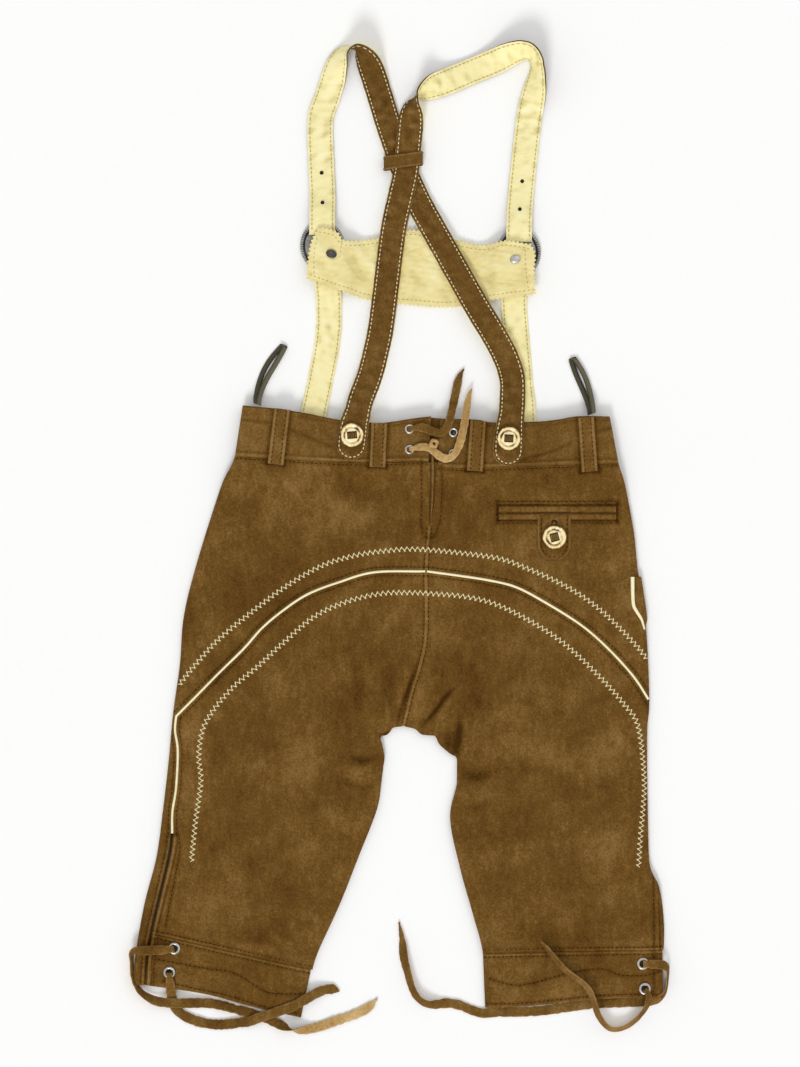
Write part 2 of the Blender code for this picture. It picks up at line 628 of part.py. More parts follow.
def straps():
    layer = (THIN + GAP) / 2
    for name, route, count in (("strap_a", STRAP_A, 58), ("strap_b", STRAP_B, 58)):
        strip(name + "_outer", route, count, TAB_FLARE, STRAP_TOTAL, layer, THIN, SUEDE_BROWN,
              tip=TAB_WIDTH / 2)
        strip(name + "_lining", route, count, TAB_FLARE, STRAP_TOTAL, -layer, THIN, CREAM,
              tip=TAB_WIDTH / 2)
    strip("strap_front_left", STRAP_FRONT_LEFT, 18, STRAP_WIDTH, 2.4, 0, 2.4, CREAM)
    strip("strap_front_right", STRAP_FRONT_RIGHT, 18, STRAP_WIDTH, 2.4, 0, 2.4, CREAM)


KEEPER = {"x": (-14.6, 20.4), "z": (0.0, 8.8), "y": (328.5, 340.5), "thick": 1.0}


def keeper():
    """The loop of suede that holds the two straps together where they cross."""
    def oval(shrink):
        (left, right), (low, high) = KEEPER["x"], KEEPER["z"]
        left, right, low, high = left + shrink, right - shrink, low + shrink, high - shrink
        corner = 1.6 - shrink
        points = []
        for x, z, start in ((right, high, 0), (left, high, 90), (left, low, 180),
                            (right, low, 270)):
            for angle in np.radians([start, start + 45, start + 90]):
                points.append((x - corner * np.sign(x - 3) + corner * math.cos(angle),
                               z - corner * np.sign(z - 4) + corner * math.sin(angle)))
        return points

    outer = [[(x, y, z) for x, z in oval(0)] for y in KEEPER["y"]]
    inner = [[(x, y, z) for x, z in oval(KEEPER["thick"])] for y in KEEPER["y"]]
    shell("strap_keeper", outer, inner, SUEDE_BROWN, ring=True)


# ---------------------------------------------------------------- bib between the straps
BIB_TOP = [(-72.9, 274.4), (-56.7, 270.5), (-48.6, 262.4), (-18.5, 265.5), (10.8, 272.7),
           (49.5, 263.7), (74.7, 258.8), (95.4, 262.4), (117.5, 258.8)]
BIB_BOTTOM = [(-83.2, 228.6), (-74.7, 225.5), (-51.3, 217.4), (-27, 210.2), (1.8, 206.6),
              (46.8, 203.9), (86.4, 210.2), (121.5, 214.7)]
BIB_LEFT = [(-83.2, 228.6), (-82.8, 240.8), (-80, 259.7), (-72.9, 274.4)]
BIB_RIGHT = [(121.5, 214.7), (120.2, 232), (121, 249.8), (117.5, 258.8)]
BIB_LIFT = 6.4          # the buckles and strap ends below it raise the ends by this
BIB_RAMP_LEFT = (30.0, 52.0)
BIB_RAMP_RIGHT = (74.0, 88.0)


def bib_low(x, y):
    ramp = smoothstep(-x, *BIB_RAMP_LEFT) if x < 0 else smoothstep(x, *BIB_RAMP_RIGHT)
    return BIB_LIFT * ramp


def bib():
    flat = coons(smooth(BIB_BOTTOM), smooth(BIB_TOP), smooth(BIB_LEFT), smooth(BIB_RIGHT), 20, 3)
    slab("bib_face", flat, bib_low, THIN, SUEDE_BROWN)
    slab("bib_lining", flat, lambda x, y: bib_low(x, y) + THIN + GAP, THIN, CREAM)


# ---------------------------------------------------------------- turned hardware
def turned(name, centre, base, profile, colour, around=16, stretch=1.0):
    """A round piece from a profile of (radius, height); stretch makes it longer along Y."""
    rings = []
    for radius, height in profile:
        rings.append([(centre[0] + radius * math.cos(angle),
                       centre[1] + radius * stretch * math.sin(angle), base + height)
                      for angle in np.linspace(0, 2 * math.pi, around + 1)[:-1]])
    return tube(name, rings, colour)


def eyelet(name, centre, diameter):
    """A flanged ring that lies on the leather."""
    outer, hole = diameter / 2, diameter * 0.27
    base = GAP + max(back_top(centre[0] + outer * math.cos(angle),
                              centre[1] + outer * math.sin(angle))
                     for angle in np.linspace(0, 2 * math.pi, 13))
    profile = ((outer, 0), (outer, 0.5), (outer * 0.75, 1.1), (hole, 0.7), (hole, 0))
    rings = [[(centre[0] + radius * math.cos(angle), centre[1] + radius * math.sin(angle),
               base + height) for radius, height in profile]
             for angle in np.linspace(0, 2 * math.pi, 13)[:-1]]
    count = len(profile)
    points = np.array(rings).reshape(-1, 3)
    faces = []
    for k in range(12):
        for j in range(count):
            a, b = k * count + j, k * count + (j + 1) % count
            c, d = (k + 1) % 12 * count + (j + 1) % count, (k + 1) % 12 * count + j
            faces.append((a, b, c, d))
    add_object(name, points, faces, SILVER)


STRAP_BUTTONS = [("strap_button_left", (-42.8, 88.0)), ("strap_button_right", (97.3, 85.0))]
FRONT_BUTTONS = [("front_strap_button_left", (-79.6, 85.0)),
                 ("front_strap_button_right", (111.5, 85.0))]
FLAP_BUTTONS = [("flap_button_left", (-38.0, 54.0)), ("flap_button_right", (90.0, 54.0))]
WAIST_EYELETS = [("waist_eyelet_1", (8.5, 93.6)), ("waist_eyelet_2", (8.5, 75.2)),
                 ("waist_eyelet_3", (47.7, 90.5)), ("waist_eyelet_4", (47.7, 71.5))]
HEM_EYELETS = [("hem_eyelet_1", (-202.5, -372.2)), ("hem_eyelet_2", (-207, -393.8)),
               ("hem_eyelet_3", (217.8, -385.7)), ("hem_eyelet_4", (219.6, -408.2))]
BUCKLES = [("buckle_left", (-69.8, 258.8)), ("buckle_right", (106.6, 252.5))]
RIVETS = [("rivet_left", (-61.5, 250.6)), ("rivet_right", (103.3, 245.8))]


def hardware():
    radius = BUTTON_DIAMETER / 2
    profile = ((radius - 1, 0), (radius, 0.8), (radius, 2.0), (radius - 1.5, 3.0),
               (radius * 0.55, 2.6))
    for name, centre in STRAP_BUTTONS:
        turned(name, centre, 10.1 + STRAP_TOTAL + GAP, profile, HORN, 20)
    top = back_top(*POCKET_BUTTON) + ON_BACK + 2 * GAP + WELT_THICK + SUEDE
    turned("pocket_button", POCKET_BUTTON, top, profile, HORN, 20)
    thin = ((radius - 1, 0), (radius, 0.5), (radius, 1.1), (radius - 1, 1.6))
    for name, centre in FRONT_BUTTONS:
        turned(name, centre, 0, thin, HORN)
    small = ((7, 0), (8, 0.4), (8, 0.9), (7, 1.3))
    for name, centre in FLAP_BUTTONS:
        turned(name, centre, 0.3, small, HORN)
    for name, centre in WAIST_EYELETS:
        eyelet(name, centre, WAIST_EYELET_DIAMETER)
    for name, centre in HEM_EYELETS:
        eyelet(name, centre, EYELET_DIAMETER)
    concho = ((17, 0), (20, 0.8), (20, 2.2), (18.5, 3.0))
    for name, centre in BUCKLES:
        turned(name, centre, 0, concho, SILVER, 24, 1.12)
    for name, centre in RIVETS:
        base = BIB_LIFT + 2 * (THIN + GAP)
        turned(name, centre, base, ((4.5, 0), (4.5, 0.4), (2.5, 1.0)), SILVER, 14)


# ---------------------------------------------------------------- laces and hanger loops
LACE_WAIST_BROWN = [(8.5, 93.6, 11.4, 0), (13, 94.4, 11.5, 0), (18, 94.8, 11.5, 0),
                    (24, 93.8, 11.5, 0), (30, 91, 11.5, 0), (36, 90, 11.5, 0),
                    (41, 93, 11.5, 0), (44, 100, 11.2, 0), (46, 108, 9.6, 0),
                    (48.2, 118, 6.8, 0), (50.3, 128, 4.2, 0), (52.5, 138, 2.0, 0),
                    (55, 144, 1.0, 0), (57.5, 148, 0.5, 0)]
LACE_WAIST_TAN = [(8.5, 75.2, 11.4, 0), (14, 76.6, 11.5, 0), (20, 77.6, 11.5, 0),
                  (26, 76.5, 11.5, 0), (31, 73, 11.6, 0), (36, 69, 11.8, 0),
                  (42, 67, 12.2, 0), (48, 70, 13.2, 0), (52.5, 78, 13.2, 0),
                  (55.5, 88, 13.2, 0), (57.6, 98, 13.0, 0), (59.2, 108, 10.4, 0),
                  (60.6, 117, 7.0, 0), (62, 124, 4.6, 0), (64.4, 130, 3.6, 0)]
LACE_LEFT_A = [(-202.5, -372.2, 8.1, 0), (-208, -372.8, 8.3, 0), (-216, -373.4, 8.7, 0),
               (-226, -373.7, 8.5, 0), (-234, -374.2, 7.2, 0), (-239.6, -375.2, 5.9, 0),
               (-241.8, -377.4, 3.4, 0), (-242.4, -380, 1.2, 0), (-242, -385, 0.1, 0),
               (-241.4, -390, 0.0, 0), (-240.4, -397, 0.0, 0), (-237.5, -405, 0.0, 0),
               (-232, -412.5, 0.2, 0), (-225, -417.5, 1.2, 0), (-217, -420.4, 3.2, 0),
               (-206, -421.6, 4.2, 0), (-196, -422, 3.2, 0), (-185, -422.2, 1.2, 0),
               (-172, -422.6, 0.1, 0), (-158, -424.8, 0.0, 25), (-148, -427.6, 0.0, 40),
               (-139, -430.2, 0.0, 12), (-127, -433.8, 0.0, 2), (-118, -437.0, 0.0, 2),
               (-107, -442, 0.0, 30),
               (-97, -446, 0.0, 100), (-86, -446.5, 0.0, 160), (-72, -443.5, 0.0, 180),
               (-57.6, -438.5, 0.0, 180), (-44, -434, 0.0, 180), (-32.4, -428.9, 0.0, 180),
               (-25, -423.5, 0.0, 180), (-20.5, -418.5, 0.0, 180)]
LACE_LEFT_B = [(-207, -393.8, 8.4, 0), (-206.6, -399, 8.2, 0), (-206.2, -404.5, 6.4, 0),
               (-205.8, -409.5, 4.7, 0), (-205.4, -414, 3.0, 0), (-204.8, -418.2, 1.6, 0),
               (-203.6, -423, 0.7, 0), (-200.8, -428.5, 0.1, 0), (-195.5, -433, 0.0, 0),
               (-188, -436.8, 0.0, 0), (-178, -440, 0.0, 0), (-166, -441.8, 0.0, 0),
               (-154.8, -441.4, 0.0, 0), (-144, -440.0, 0.8, 0), (-134.5, -438.2, 2.8, 0),
               (-126, -434.6, 4.2, 0), (-116, -431.2, 5.0, 0), (-105, -427.4, 6.0, 0),
               (-94.5, -423.3, 6.2, 0), (-85, -418.3, 5.4, 0), (-77, -413.8, 3.8, 0),
               (-69, -410.6, 1.8, 0), (-61.2, -409.8, 0.5, 0), (-54.5, -411.8, 0.0, 0)]
LACE_RIGHT_A = [(217.8, -385.7, 9.7, 0), (223, -385.7, 9.5, 0), (229, -386, 8.8, 0),
                (234.5, -386.6, 7.6, 0), (239.4, -387.8, 6.2, 0), (241.6, -390, 3.6, 0),
                (242, -393, 1.2, 0), (241, -398, 0.2, 0), (239, -404, 0.0, 0),
                (235, -411, 0.0, 0), (229, -417.5, 0.0, 0), (221, -422, 0.0, 0),
                (210, -424.5, 0.0, 0), (196, -425.2, 0.0, 0), (178, -425.8, 0.0, 0),
                (160, -428, 0.0, 0), (142, -430.5, 0.0, 0), (125, -432.5, 0.0, 0),
                (106, -433.3, 0.0, 0), (88, -432.5, 0.0, 0), (75, -432.6, 0.0, 0),
                (65, -429, 0.0, 0), (54, -424.5, 0.0, 0), (43, -422.5, 0.0, 0),
                (33, -423.5, 0.0, 15), (24, -423, 0.0, 35), (16.2, -418, 0.0, 40),
                (11, -409, 0.0, 40), (7, -396, 0.0, 40), (3.6, -382, 0.0, 30),
                (1.8, -365, 0.0, 20), (-0.9, -349.5, 0.0, 20)]
LACE_RIGHT_B = [(219.6, -408.2, 9.6, 0), (221.6, -411, 9.6, 10), (222.8, -414.4, 9.4, 20),
                (222.8, -418.4, 8.2, 35), (221.6, -422.5, 5.6, 45), (219.6, -427, 3.0, 50),
                (216.4, -432.2, 1.0, 52), (211.5, -437.8, 0.1, 52), (204.5, -442.6, 0.0, 50),
                (196.5, -445.3, 0.0, 50), (189.5, -445.2, 0.2, 50), (184, -441.2, 0.9, 50),
                (180, -435.5, 2.6, 50), (177, -429.5, 4.6, 50), (174.8, -423, 6.4, 50),
                (172.6, -416, 7.4, 50), (169.8, -409.5, 7.5, 50), (165, -403.8, 7.5, 50),
                (158.5, -398.6, 7.4, 50), (151, -393, 7.4, 50), (144, -386.8, 7.4, 50),
                (138, -379.5, 7.4, 55), (132.3, -372.2, 7.4, 60), (126.5, -366.2, 7.4, 60)]


def laces():
    for name, route, count, narrow in (
            ("lace_waist_brown", LACE_WAIST_BROWN, 22, 4.0),
            ("lace_waist_tan", LACE_WAIST_TAN, 24, 4.0),
            ("lace_hem_left_a", LACE_LEFT_A, 60, 5.0),
            ("lace_hem_left_b", LACE_LEFT_B, 44, 5.0),
            ("lace_hem_right_a", LACE_RIGHT_A, 60, 5.0),
            ("lace_hem_right_b", LACE_RIGHT_B, 44, 5.0)):
        wide = 7.0 if "waist" in name else LACE_WIDTH
        width = ([0, 4, 10, 2000], [narrow, narrow, wide, wide])
        strip(name, route, count, width, LACE_THICK, 0, LACE_THICK, SUEDE_BROWN)


# name, base (x, y) beside the waistband, fold (x, y)
HANGERS = [("hanger_loop_left", (-128.0, 115.6), (-105.0, 168.0)),
           ("hanger_loop_right", (172.0, 107.2), (155.5, 156.5))]
TAPE = {"width": 9.0, "thick": 1.0, "space": 0.4, "base": 5.6}


def hangers():
    """Loops of tape that lie doubled: one layer up from the band, a fold, and one back."""
    reach = 24.0
    for name, base, fold in HANGERS:
        base, fold = np.array(base), np.array(fold)
        length = np.linalg.norm(fold - base)
        forward = (fold - base) / length
        across = np.array([-forward[1], forward[0], 0])
        path = []
        rise = TAPE["thick"] + TAPE["space"]
        for layer, places in ((0, np.linspace(0, 1, 9)), (1, np.linspace(1, 0, 9))):
            if layer:
                path.append((length + rise / 2, TAPE["thick"] / 2 + rise / 2))
            for share in places:
                way = share * length
                drop = TAPE["base"] * (1 - smoothstep(way, 0, reach))
                path.append((way, drop + TAPE["thick"] / 2 + layer * rise))
        path = np.array(path)
        heading = np.gradient(path, axis=0)
        heading /= np.linalg.norm(heading, axis=1, keepdims=True)
        rings = []
        for (way, height), (run, climb) in zip(path, heading):
            middle = np.array([*(base + forward * way), height])
            normal = np.array([*(-forward * climb), run])
            rings.append([middle + across * TAPE["width"] / 2 * a + normal * TAPE["thick"] / 2 * b
                          for a, b in ((-1, -1), (1, -1), (1, 1), (-1, 1))])
        tube(name, rings, TAPE_GREY)


waistband()
trims()
pockets()
knife_pocket()
straps()
keeper()
bib()
hardware()
laces()
hangers()
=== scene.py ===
"""The looks of knee-length suede lederhosen that lie flat with the back up.

Tables are in millimetres, in the same frame as the part's own tables, and PLACE and MM bring them
to the model's frame in metres. The trousers lie in the XY plane, waist towards +Y, floor at z = 0.
"""

import math

import bpy
import numpy as np
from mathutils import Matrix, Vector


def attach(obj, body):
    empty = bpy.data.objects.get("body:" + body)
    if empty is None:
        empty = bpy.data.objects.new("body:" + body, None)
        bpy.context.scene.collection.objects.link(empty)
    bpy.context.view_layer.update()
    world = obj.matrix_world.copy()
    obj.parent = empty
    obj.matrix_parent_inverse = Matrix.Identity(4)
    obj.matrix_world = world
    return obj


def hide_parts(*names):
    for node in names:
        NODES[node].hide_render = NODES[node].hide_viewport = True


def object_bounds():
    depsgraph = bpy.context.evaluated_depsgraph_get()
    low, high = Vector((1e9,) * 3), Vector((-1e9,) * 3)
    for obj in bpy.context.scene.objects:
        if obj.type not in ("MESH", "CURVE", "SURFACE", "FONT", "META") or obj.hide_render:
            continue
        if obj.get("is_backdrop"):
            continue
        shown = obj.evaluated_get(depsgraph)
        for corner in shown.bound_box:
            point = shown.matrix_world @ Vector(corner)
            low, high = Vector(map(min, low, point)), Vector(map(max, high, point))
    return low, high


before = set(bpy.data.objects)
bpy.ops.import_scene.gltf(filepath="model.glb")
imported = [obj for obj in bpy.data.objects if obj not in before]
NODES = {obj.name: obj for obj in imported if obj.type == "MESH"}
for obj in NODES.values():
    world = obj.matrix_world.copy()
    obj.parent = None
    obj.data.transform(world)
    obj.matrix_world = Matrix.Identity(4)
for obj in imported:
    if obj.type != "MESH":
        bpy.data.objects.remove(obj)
CAD_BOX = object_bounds()

# ---------------------------------------------------------------- driving sizes, in millimetres
MM = 0.001
PLACE = np.array((1.236, -2.710, 0.0))  # from the tables' origin to the model's
SUEDE = 1.6             # thickness of the trouser leather
THIN = 1.2              # thickness of strap leather, strap lining and bib
GAP = 0.3               # clearance between pieces
EASE = 0.8              # how far the left front stops short of the side piping
EDGE = 3.9              # height of the trousers at their outline
FULLNESS = 3.0          # how much higher they are away from it
FULLNESS_REACH = 12.0   # distance over which they rise
WAIST_FULLNESS = 0.32   # share of the fullness that is left at the waist
WAIST_LIFT = 4.9        # room under the waist
RAMP = (24.0, 62.0)     # y over which the trousers rise to the waist
LACE_ROOM = 1.8         # room for laces under the outer corners of the hems
LACE_ROOM_X = (205.0, 222.0)
LACE_ROOM_Y = (338.0, 360.0)
LIP = 2.8               # how far the left front wraps onto the back at the hip
ROUND = EDGE / 2        # radius of a fold at the outline
FOLD_INSIDE = 0.4       # radius of its inner face
STRAP_WIDTH = 23.0
TAB_WIDTH = 27.0        # width of the straps' buttoned ends
LACE_WIDTH = 8.0
LACE_THICK = 1.4
GRID = 1.7              # spacing of the points on the back panels
STITCH = 3.9            # pitch of the stitching
LOWEST = 0.02           # the least height of straps, laces and threads
THREAD = 2.7            # length of one stitch
rng = np.random.default_rng(7)

# ---------------------------------------------------------------- outlines: (x, y), top to bottom
OUTER_LEFT = [(-141, 115), (-148, 70), (-160, 44), (-174, 2), (-187, -42), (-195, -78),
              (-198, -118), (-204, -161), (-208, -204), (-213, -247), (-219, -291),
              (-230, -334), (-237.5, -377), (-240, -398), (-239, -405)]
OUTER_RIGHT = [(188, 105), (196, 63), (202, 44), (210, 2), (213.5, -31), (221, -85),
               (224, -150), (222, -183), (223, -269), (225, -300), (233, -318), (235.5, -345),
               (237, -400), (236.5, -417)]
INNER_LEFT = [(3, -173.5), (-6, -174), (-17, -182), (-14.5, -204), (-17, -226), (-21, -249),
              (-37, -290), (-54, -333), (-74, -377), (-80, -398), (-89, -434)]
INNER_RIGHT = [(3.5, -173.5), (14, -175), (31, -181), (38, -192), (51, -200), (51, -225),
               (45, -256), (54, -301), (66, -344), (74.5, -378), (76.5, -426)]
# The puckered edge of the back between the legs, from the centre seam down
CROTCH_LEFT = [(3.2, -173.2), (-6, -174.5), (-9, -178.4), (-12.6, -181.4), (-17.6, -182.5),
               (-15.8, -190), (-13.9, -200.9), (-14.8, -208.4), (-16.2, -211.5),
               (-16.2, -218), (-17, -226)]
CROTCH_RIGHT = [(3.2, -173.2), (13.5, -175.7), (17.1, -178.9), (21, -181), (28.5, -180.4),
                (32.4, -183.2), (35.4, -189.5), (45, -197.9), (50.4, -200.9), (51.2, -206),
                (51, -225)]
CENTRE_SEAM = [(26.5, 8), (23.5, -33), (22.5, -97), (10, -144), (3.2, -173)]
SLIT_LEFT = [(27, 63), (26.4, 30), (26.5, 8)]
SLIT_RIGHT = [(33, 60), (31, 30), (26.9, 8)]
WAIST_TOP = [(-141, 115), (-112, 112), (-85, 108), (-55, 102), (-26, 99.5), (-11, 99.5),
             (4, 102), (28, 105), (38, 103), (69, 102), (85, 99.5), (133, 101), (158, 105),
             (188, 105)]
WAIST_SEAM = [(-148, 70), (-118, 68), (-66, 65), (-30, 64), (22, 65), (37, 60.5), (59, 59),
              (94, 60), (162, 62.5), (196, 63.5)]
SEAT_ARCH_LEFT = [(23.4, -33.8), (-23, -34.7), (-55, -43.7), (-83, -54.5), (-105, -69),
                  (-124, -85), (-140, -103), (-163, -125.6), (-185, -148), (-201, -164)]
SEAT_ARCH_RIGHT = [(23.4, -33.8), (53, -37.8), (80, -42), (104, -48), (129, -61), (161, -81),
                   (184.5, -101), (209, -127.5), (224.5, -151)]
SIDE_PIPING = [(-201, -164), (-202, -177), (-199.5, -195), (-201, -228), (-204.3, -250),
               (-204.5, -271)]
SIDE_SLIT = [(-204.5, -271), (-207.5, -291), (-222, -352), (-223, -359)]
CUFF_SEAM_LEFT = [(-223, -359), (-150, -376), (-80, -392)]
CUFF_SEAM_RIGHT = [(74.5, -377.6), (128, -376), (236, -374)]
HEM_LEFT = [(-229, -405.5), (-175, -414), (-134, -425), (-89, -435)]
HEM_RIGHT = [(76.5, -426), (112, -425), (186, -418), (236.5, -417.3)]


# ---------------------------------------------------------------- curves
def smooth(points, step=2.0):
    """A dense Catmull-Rom polyline through the points, which may have any number of columns."""
    points = np.array(points, float)
    ends = np.vstack([2 * points[0] - points[1], points, 2 * points[-1] - points[-2]])
    dense = []
    for before, start, end, after in zip(ends, ends[1:], ends[2:], ends[3:]):
        count = max(2, int(np.linalg.norm((end - start)[:2]) / step))
        for t in np.arange(count) / count:
            dense.append(0.5 * (2 * start + (end - before) * t
                                + (2 * before - 5 * start + 4 * end - after) * t**2
                                + (3 * start - before - 3 * end + after) * t**3))
    dense.append(points[-1])
    return np.array(dense)


def way_along(curve):
    """Distance from the start of a polyline to each of its points."""
    steps = np.linalg.norm(np.diff(curve, axis=0), axis=1)
    return np.concatenate([[0], np.cumsum(steps)])


def spaced(curve, count, start=0.0, end=1.0):
    """Points at even distances along a polyline, from one fraction of it to another."""
    way = way_along(curve[:, :2])
    places = np.linspace(start, end, count) * way[-1]
    return np.array([np.interp(places, way, column) for column in curve.T]).T


def x_at(curve, y):
    """Where a curve that runs downwards is at height y."""
    return np.interp(-np.asarray(y, float), -curve[:, 1], curve[:, 0])


def y_at(curve, x):
    """Height of a curve at x."""
    order = np.argsort(curve[:, 0])
    return np.interp(x, curve[order, 0], curve[order, 1])


def between(curve, x_start, x_end, count=160):
    """The part of a curve from one x to another."""
    x = np.linspace(x_start, x_end, count)
    return np.column_stack([x, y_at(curve, x)])


def down(curve, y_start, y_end, count=160):
    """The part of a curve from one y to another."""
    y = np.linspace(y_start, y_end, count)
    return np.column_stack([x_at(curve, y), y])


def join(*curves):
    """One curve from several, each of which starts where the last ends."""
    return np.vstack([curves[0]] + [curve[1:] for curve in curves[1:]])


def normals_of(curve):
    """Unit vectors to the left of a flat curve's way."""
    tangent = np.gradient(curve[:, :2], axis=0)
    tangent /= np.linalg.norm(tangent, axis=1, keepdims=True)
    return np.stack([-tangent[:, 1], tangent[:, 0]], axis=1)


def beside(curve, distance):
    """The curve moved to its left by the distance, or to its right if that is negative."""
    curve = spaced(curve, max(8, int(way_along(curve[:, :2])[-1] / 2)))
    return curve[:, :2] + normals_of(curve) * distance


def sides_of(left, top, right, bottom):
    """The four sides of an upright box."""
    corners = np.array([(left, top), (right, top), (right, bottom), (left, bottom), (left, top)])
    return [corners[k:k + 2] for k in range(4)]


def smoothstep(value, start, end):
    """A soft rise from 0 to 1 as the value goes from start to end."""
    t = np.clip((value - start) / (end - start), 0, 1)
    return t * t * (3 - 2 * t)


def nearest(points, curve):
    """Distance to a dense curve and share of its length, for each of the points."""
    distance, share = np.empty(len(points)), np.empty(len(points))
    for first in range(0, len(points), 3000):
        block = points[first:first + 3000]
        gaps = np.hypot(block[:, :1] - curve[:, 0], block[:, 1:2] - curve[:, 1])
        best = gaps.argmin(1)
        distance[first:first + 3000] = gaps[np.arange(len(block)), best]
        share[first:first + 3000] = best / (len(curve) - 1)
    return distance, share


CURVES = {name: smooth(table) for name, table in {
    "outer_left": OUTER_LEFT, "outer_right": OUTER_RIGHT, "inner_left": INNER_LEFT,
    "inner_right": INNER_RIGHT, "arch_left": SEAT_ARCH_LEFT, "arch_right": SEAT_ARCH_RIGHT,
    "side_piping": SIDE_PIPING, "side_slit": SIDE_SLIT, "centre": CENTRE_SEAM,
    "slit_left": SLIT_LEFT, "slit_right": SLIT_RIGHT, "waist_seam": WAIST_SEAM,
    "waist_top": WAIST_TOP, "cuff_seam_left": CUFF_SEAM_LEFT,
    "cuff_seam_right": CUFF_SEAM_RIGHT, "hem_left": HEM_LEFT, "hem_right": HEM_RIGHT}.items()}
BORDER = np.vstack([CURVES[name] for name in ("outer_left", "outer_right", "inner_left",
                                              "inner_right", "hem_left", "hem_right")])

# ---------------------------------------------------------------- seams, stitching and creases
LEFT_WAIST = between(CURVES["waist_seam"], -148, 26)
RIGHT_WAIST = between(CURVES["waist_seam"], 34, 196)
LEFT_TOP = between(CURVES["waist_top"], -141, 26)
RIGHT_TOP = between(CURVES["waist_top"], 36, 188)
CENTRE_BELOW = down(CURVES["centre"], 6, -172)
SLIT_LINE = smooth([(-204.5, -271), (-207.5, -291), (-222, -352), (-227, -380), (-228.5, -404)])
RIGHT_FOLD = smooth([(231.4, -306), (233.2, -345), (233.6, -374)])
# Valleys of the seams: curve, depth, width
SEAMS = [(CURVES["arch_left"], 0.7, 1.2), (CURVES["arch_right"], 0.7, 1.2),
         (CURVES["side_piping"], 0.7, 1.2), (CENTRE_BELOW, -0.35, 1.0),
         (LEFT_WAIST, 0.6, 0.9), (RIGHT_WAIST, 0.6, 0.9),
         (CURVES["cuff_seam_left"], 0.6, 0.9), (CURVES["cuff_seam_right"], 0.6, 0.9),
         (LEFT_TOP, 0.9, 1.1), (RIGHT_TOP, 0.9, 1.1),
         (SLIT_LINE, 2.0, 1.6), (SLIT_LINE, 0.8, 1.0), (beside(SLIT_LINE, 5.0), 0.35, 1.0),
         (RIGHT_FOLD, 0.6, 1.0)]
ARCH_ROW = 3.8          # distance of the stitching from the piping
CENTRE_ROW = 1.9
WAIST_ROWS = (3.6, -2.6)
TOP_ROW = -3.2
CUFF_ROWS = (3.2, -3.0)
# Dark topstitching on the back: each is a curve
ROWS = [beside(curve, distance) for curve, *distances in (
    (CURVES["arch_left"], ARCH_ROW, -ARCH_ROW), (CURVES["arch_right"], ARCH_ROW, -ARCH_ROW),
    (CURVES["side_piping"], ARCH_ROW, -ARCH_ROW + 0.4), (CENTRE_BELOW, CENTRE_ROW, -CENTRE_ROW),
    (LEFT_WAIST, *WAIST_ROWS), (RIGHT_WAIST, *WAIST_ROWS),
    (between(CURVES["waist_top"], -90, 24), TOP_ROW), (RIGHT_TOP, TOP_ROW),
    (CURVES["cuff_seam_left"], *CUFF_ROWS), (CURVES["cuff_seam_right"], *CUFF_ROWS))
    for distance in distances]
ROWS += [smooth(points) for points in (
    [(19.4, 66.2), (19.4, 21.2), (18.4, 12.2), (20.6, -1.0)],
    [(36.9, 61.6), (37.8, 39.1), (36.0, 12.2), (31.5, -1.4)], [(22.0, -3.4), (30.6, -3.2)],
    [(-97.2, 93.2), (-81.0, 86.0), (-60, 77.5)], [(110, 66.5), (135.0, 73.4), (152, 81)],
    [(-143.1, 102.2), (-119, 99.5)], [(177, 91.4), (190, 95.0)],
    [(-217.8, -382.1), (-184.5, -388.4), (-169.2, -391.1), (-152.1, -393.3),
     (-141.3, -398.2), (-130.5, -405.4), (-118.8, -411.8), (-108.0, -413.1), (-88, -413.6)],
    [(79, -399.6), (108.0, -405.4), (147.2, -395.6), (172.8, -391.1), (186.3, -391.9),
     (198.9, -396.4), (220.5, -396.4), (233.5, -392.9)],
    [(-213, -401.5), (-184.5, -408.6), (-160.2, -413.4), (-139.5, -419.6), (-121.5, -425.2),
     (-92.0, -431.4)])]
ROWS += [beside(CURVES["hem_right"], 3.4),
         smooth([(-198.0, -272.2), (-198.9, -292.1), (-210.6, -353)]),
         smooth([(227.7, -303.8), (227.9, -360), (227.7, -413)]),
         beside(SLIT_LINE, -4.2), beside(SLIT_LINE, 7.2)[44:],
         smooth([(-212, -272.4), (-199, -269.8)])]
BOX_ROWS = sides_of(86.9, 28.7, 195.7, 9.5)
# Valleys round the two welts of the pocket, with painted shade in them
WELT_EDGES = sides_of(88.0, 25.6, 194.4, 11.8)
BELT_LOOPS = [("belt_loop_1", (-105.5, 111.5), (-111.5, 62.0)),
              ("belt_loop_2", (-18.5, 99.0), (-20.2, 59.5)),
              ("belt_loop_3", (70.0, 101.0), (67.0, 56.0)),
              ("belt_loop_4", (166.5, 104.0), (170.0, 55.5))]
LOOP_WIDTH = 15.0
# The sides and lower ends of the belt loops, which shade the leather beside them
LOOP_EDGES = []
for _, upper, lower in BELT_LOOPS:
    edges = [beside(np.array([upper, lower], float), way * (LOOP_WIDTH / 2 + 0.6))
             for way in (-1, 1)]
    LOOP_EDGES += edges + [np.array([edge[-1] for edge in edges])]
# Folded edges that catch the light: curve, height, width, tone
FOLDS = [(beside(curve, 1.2), 0.35, 0.8, 0.20) for curve in (LEFT_WAIST, RIGHT_WAIST)]
FOLDS += [(beside(CURVES["cuff_seam_" + side], distance), 0.3, 0.6, 0.16)
          for side in ("left", "right") for distance in (1.1, -1.1)]
FOLDS += [(beside(SLIT_LINE, 2.6), 0.5, 1.0, 0.16), (beside(SLIT_LINE, -2.2), 0.3, 0.8, 0.10),
          (beside(CENTRE_BELOW, 0.0), 0.25, 0.7, 0.12)]
FOLDS += [(side, 0.35, 0.8, 0.12) for side in sides_of(87.0, 26.9, 195.4, 10.6)]
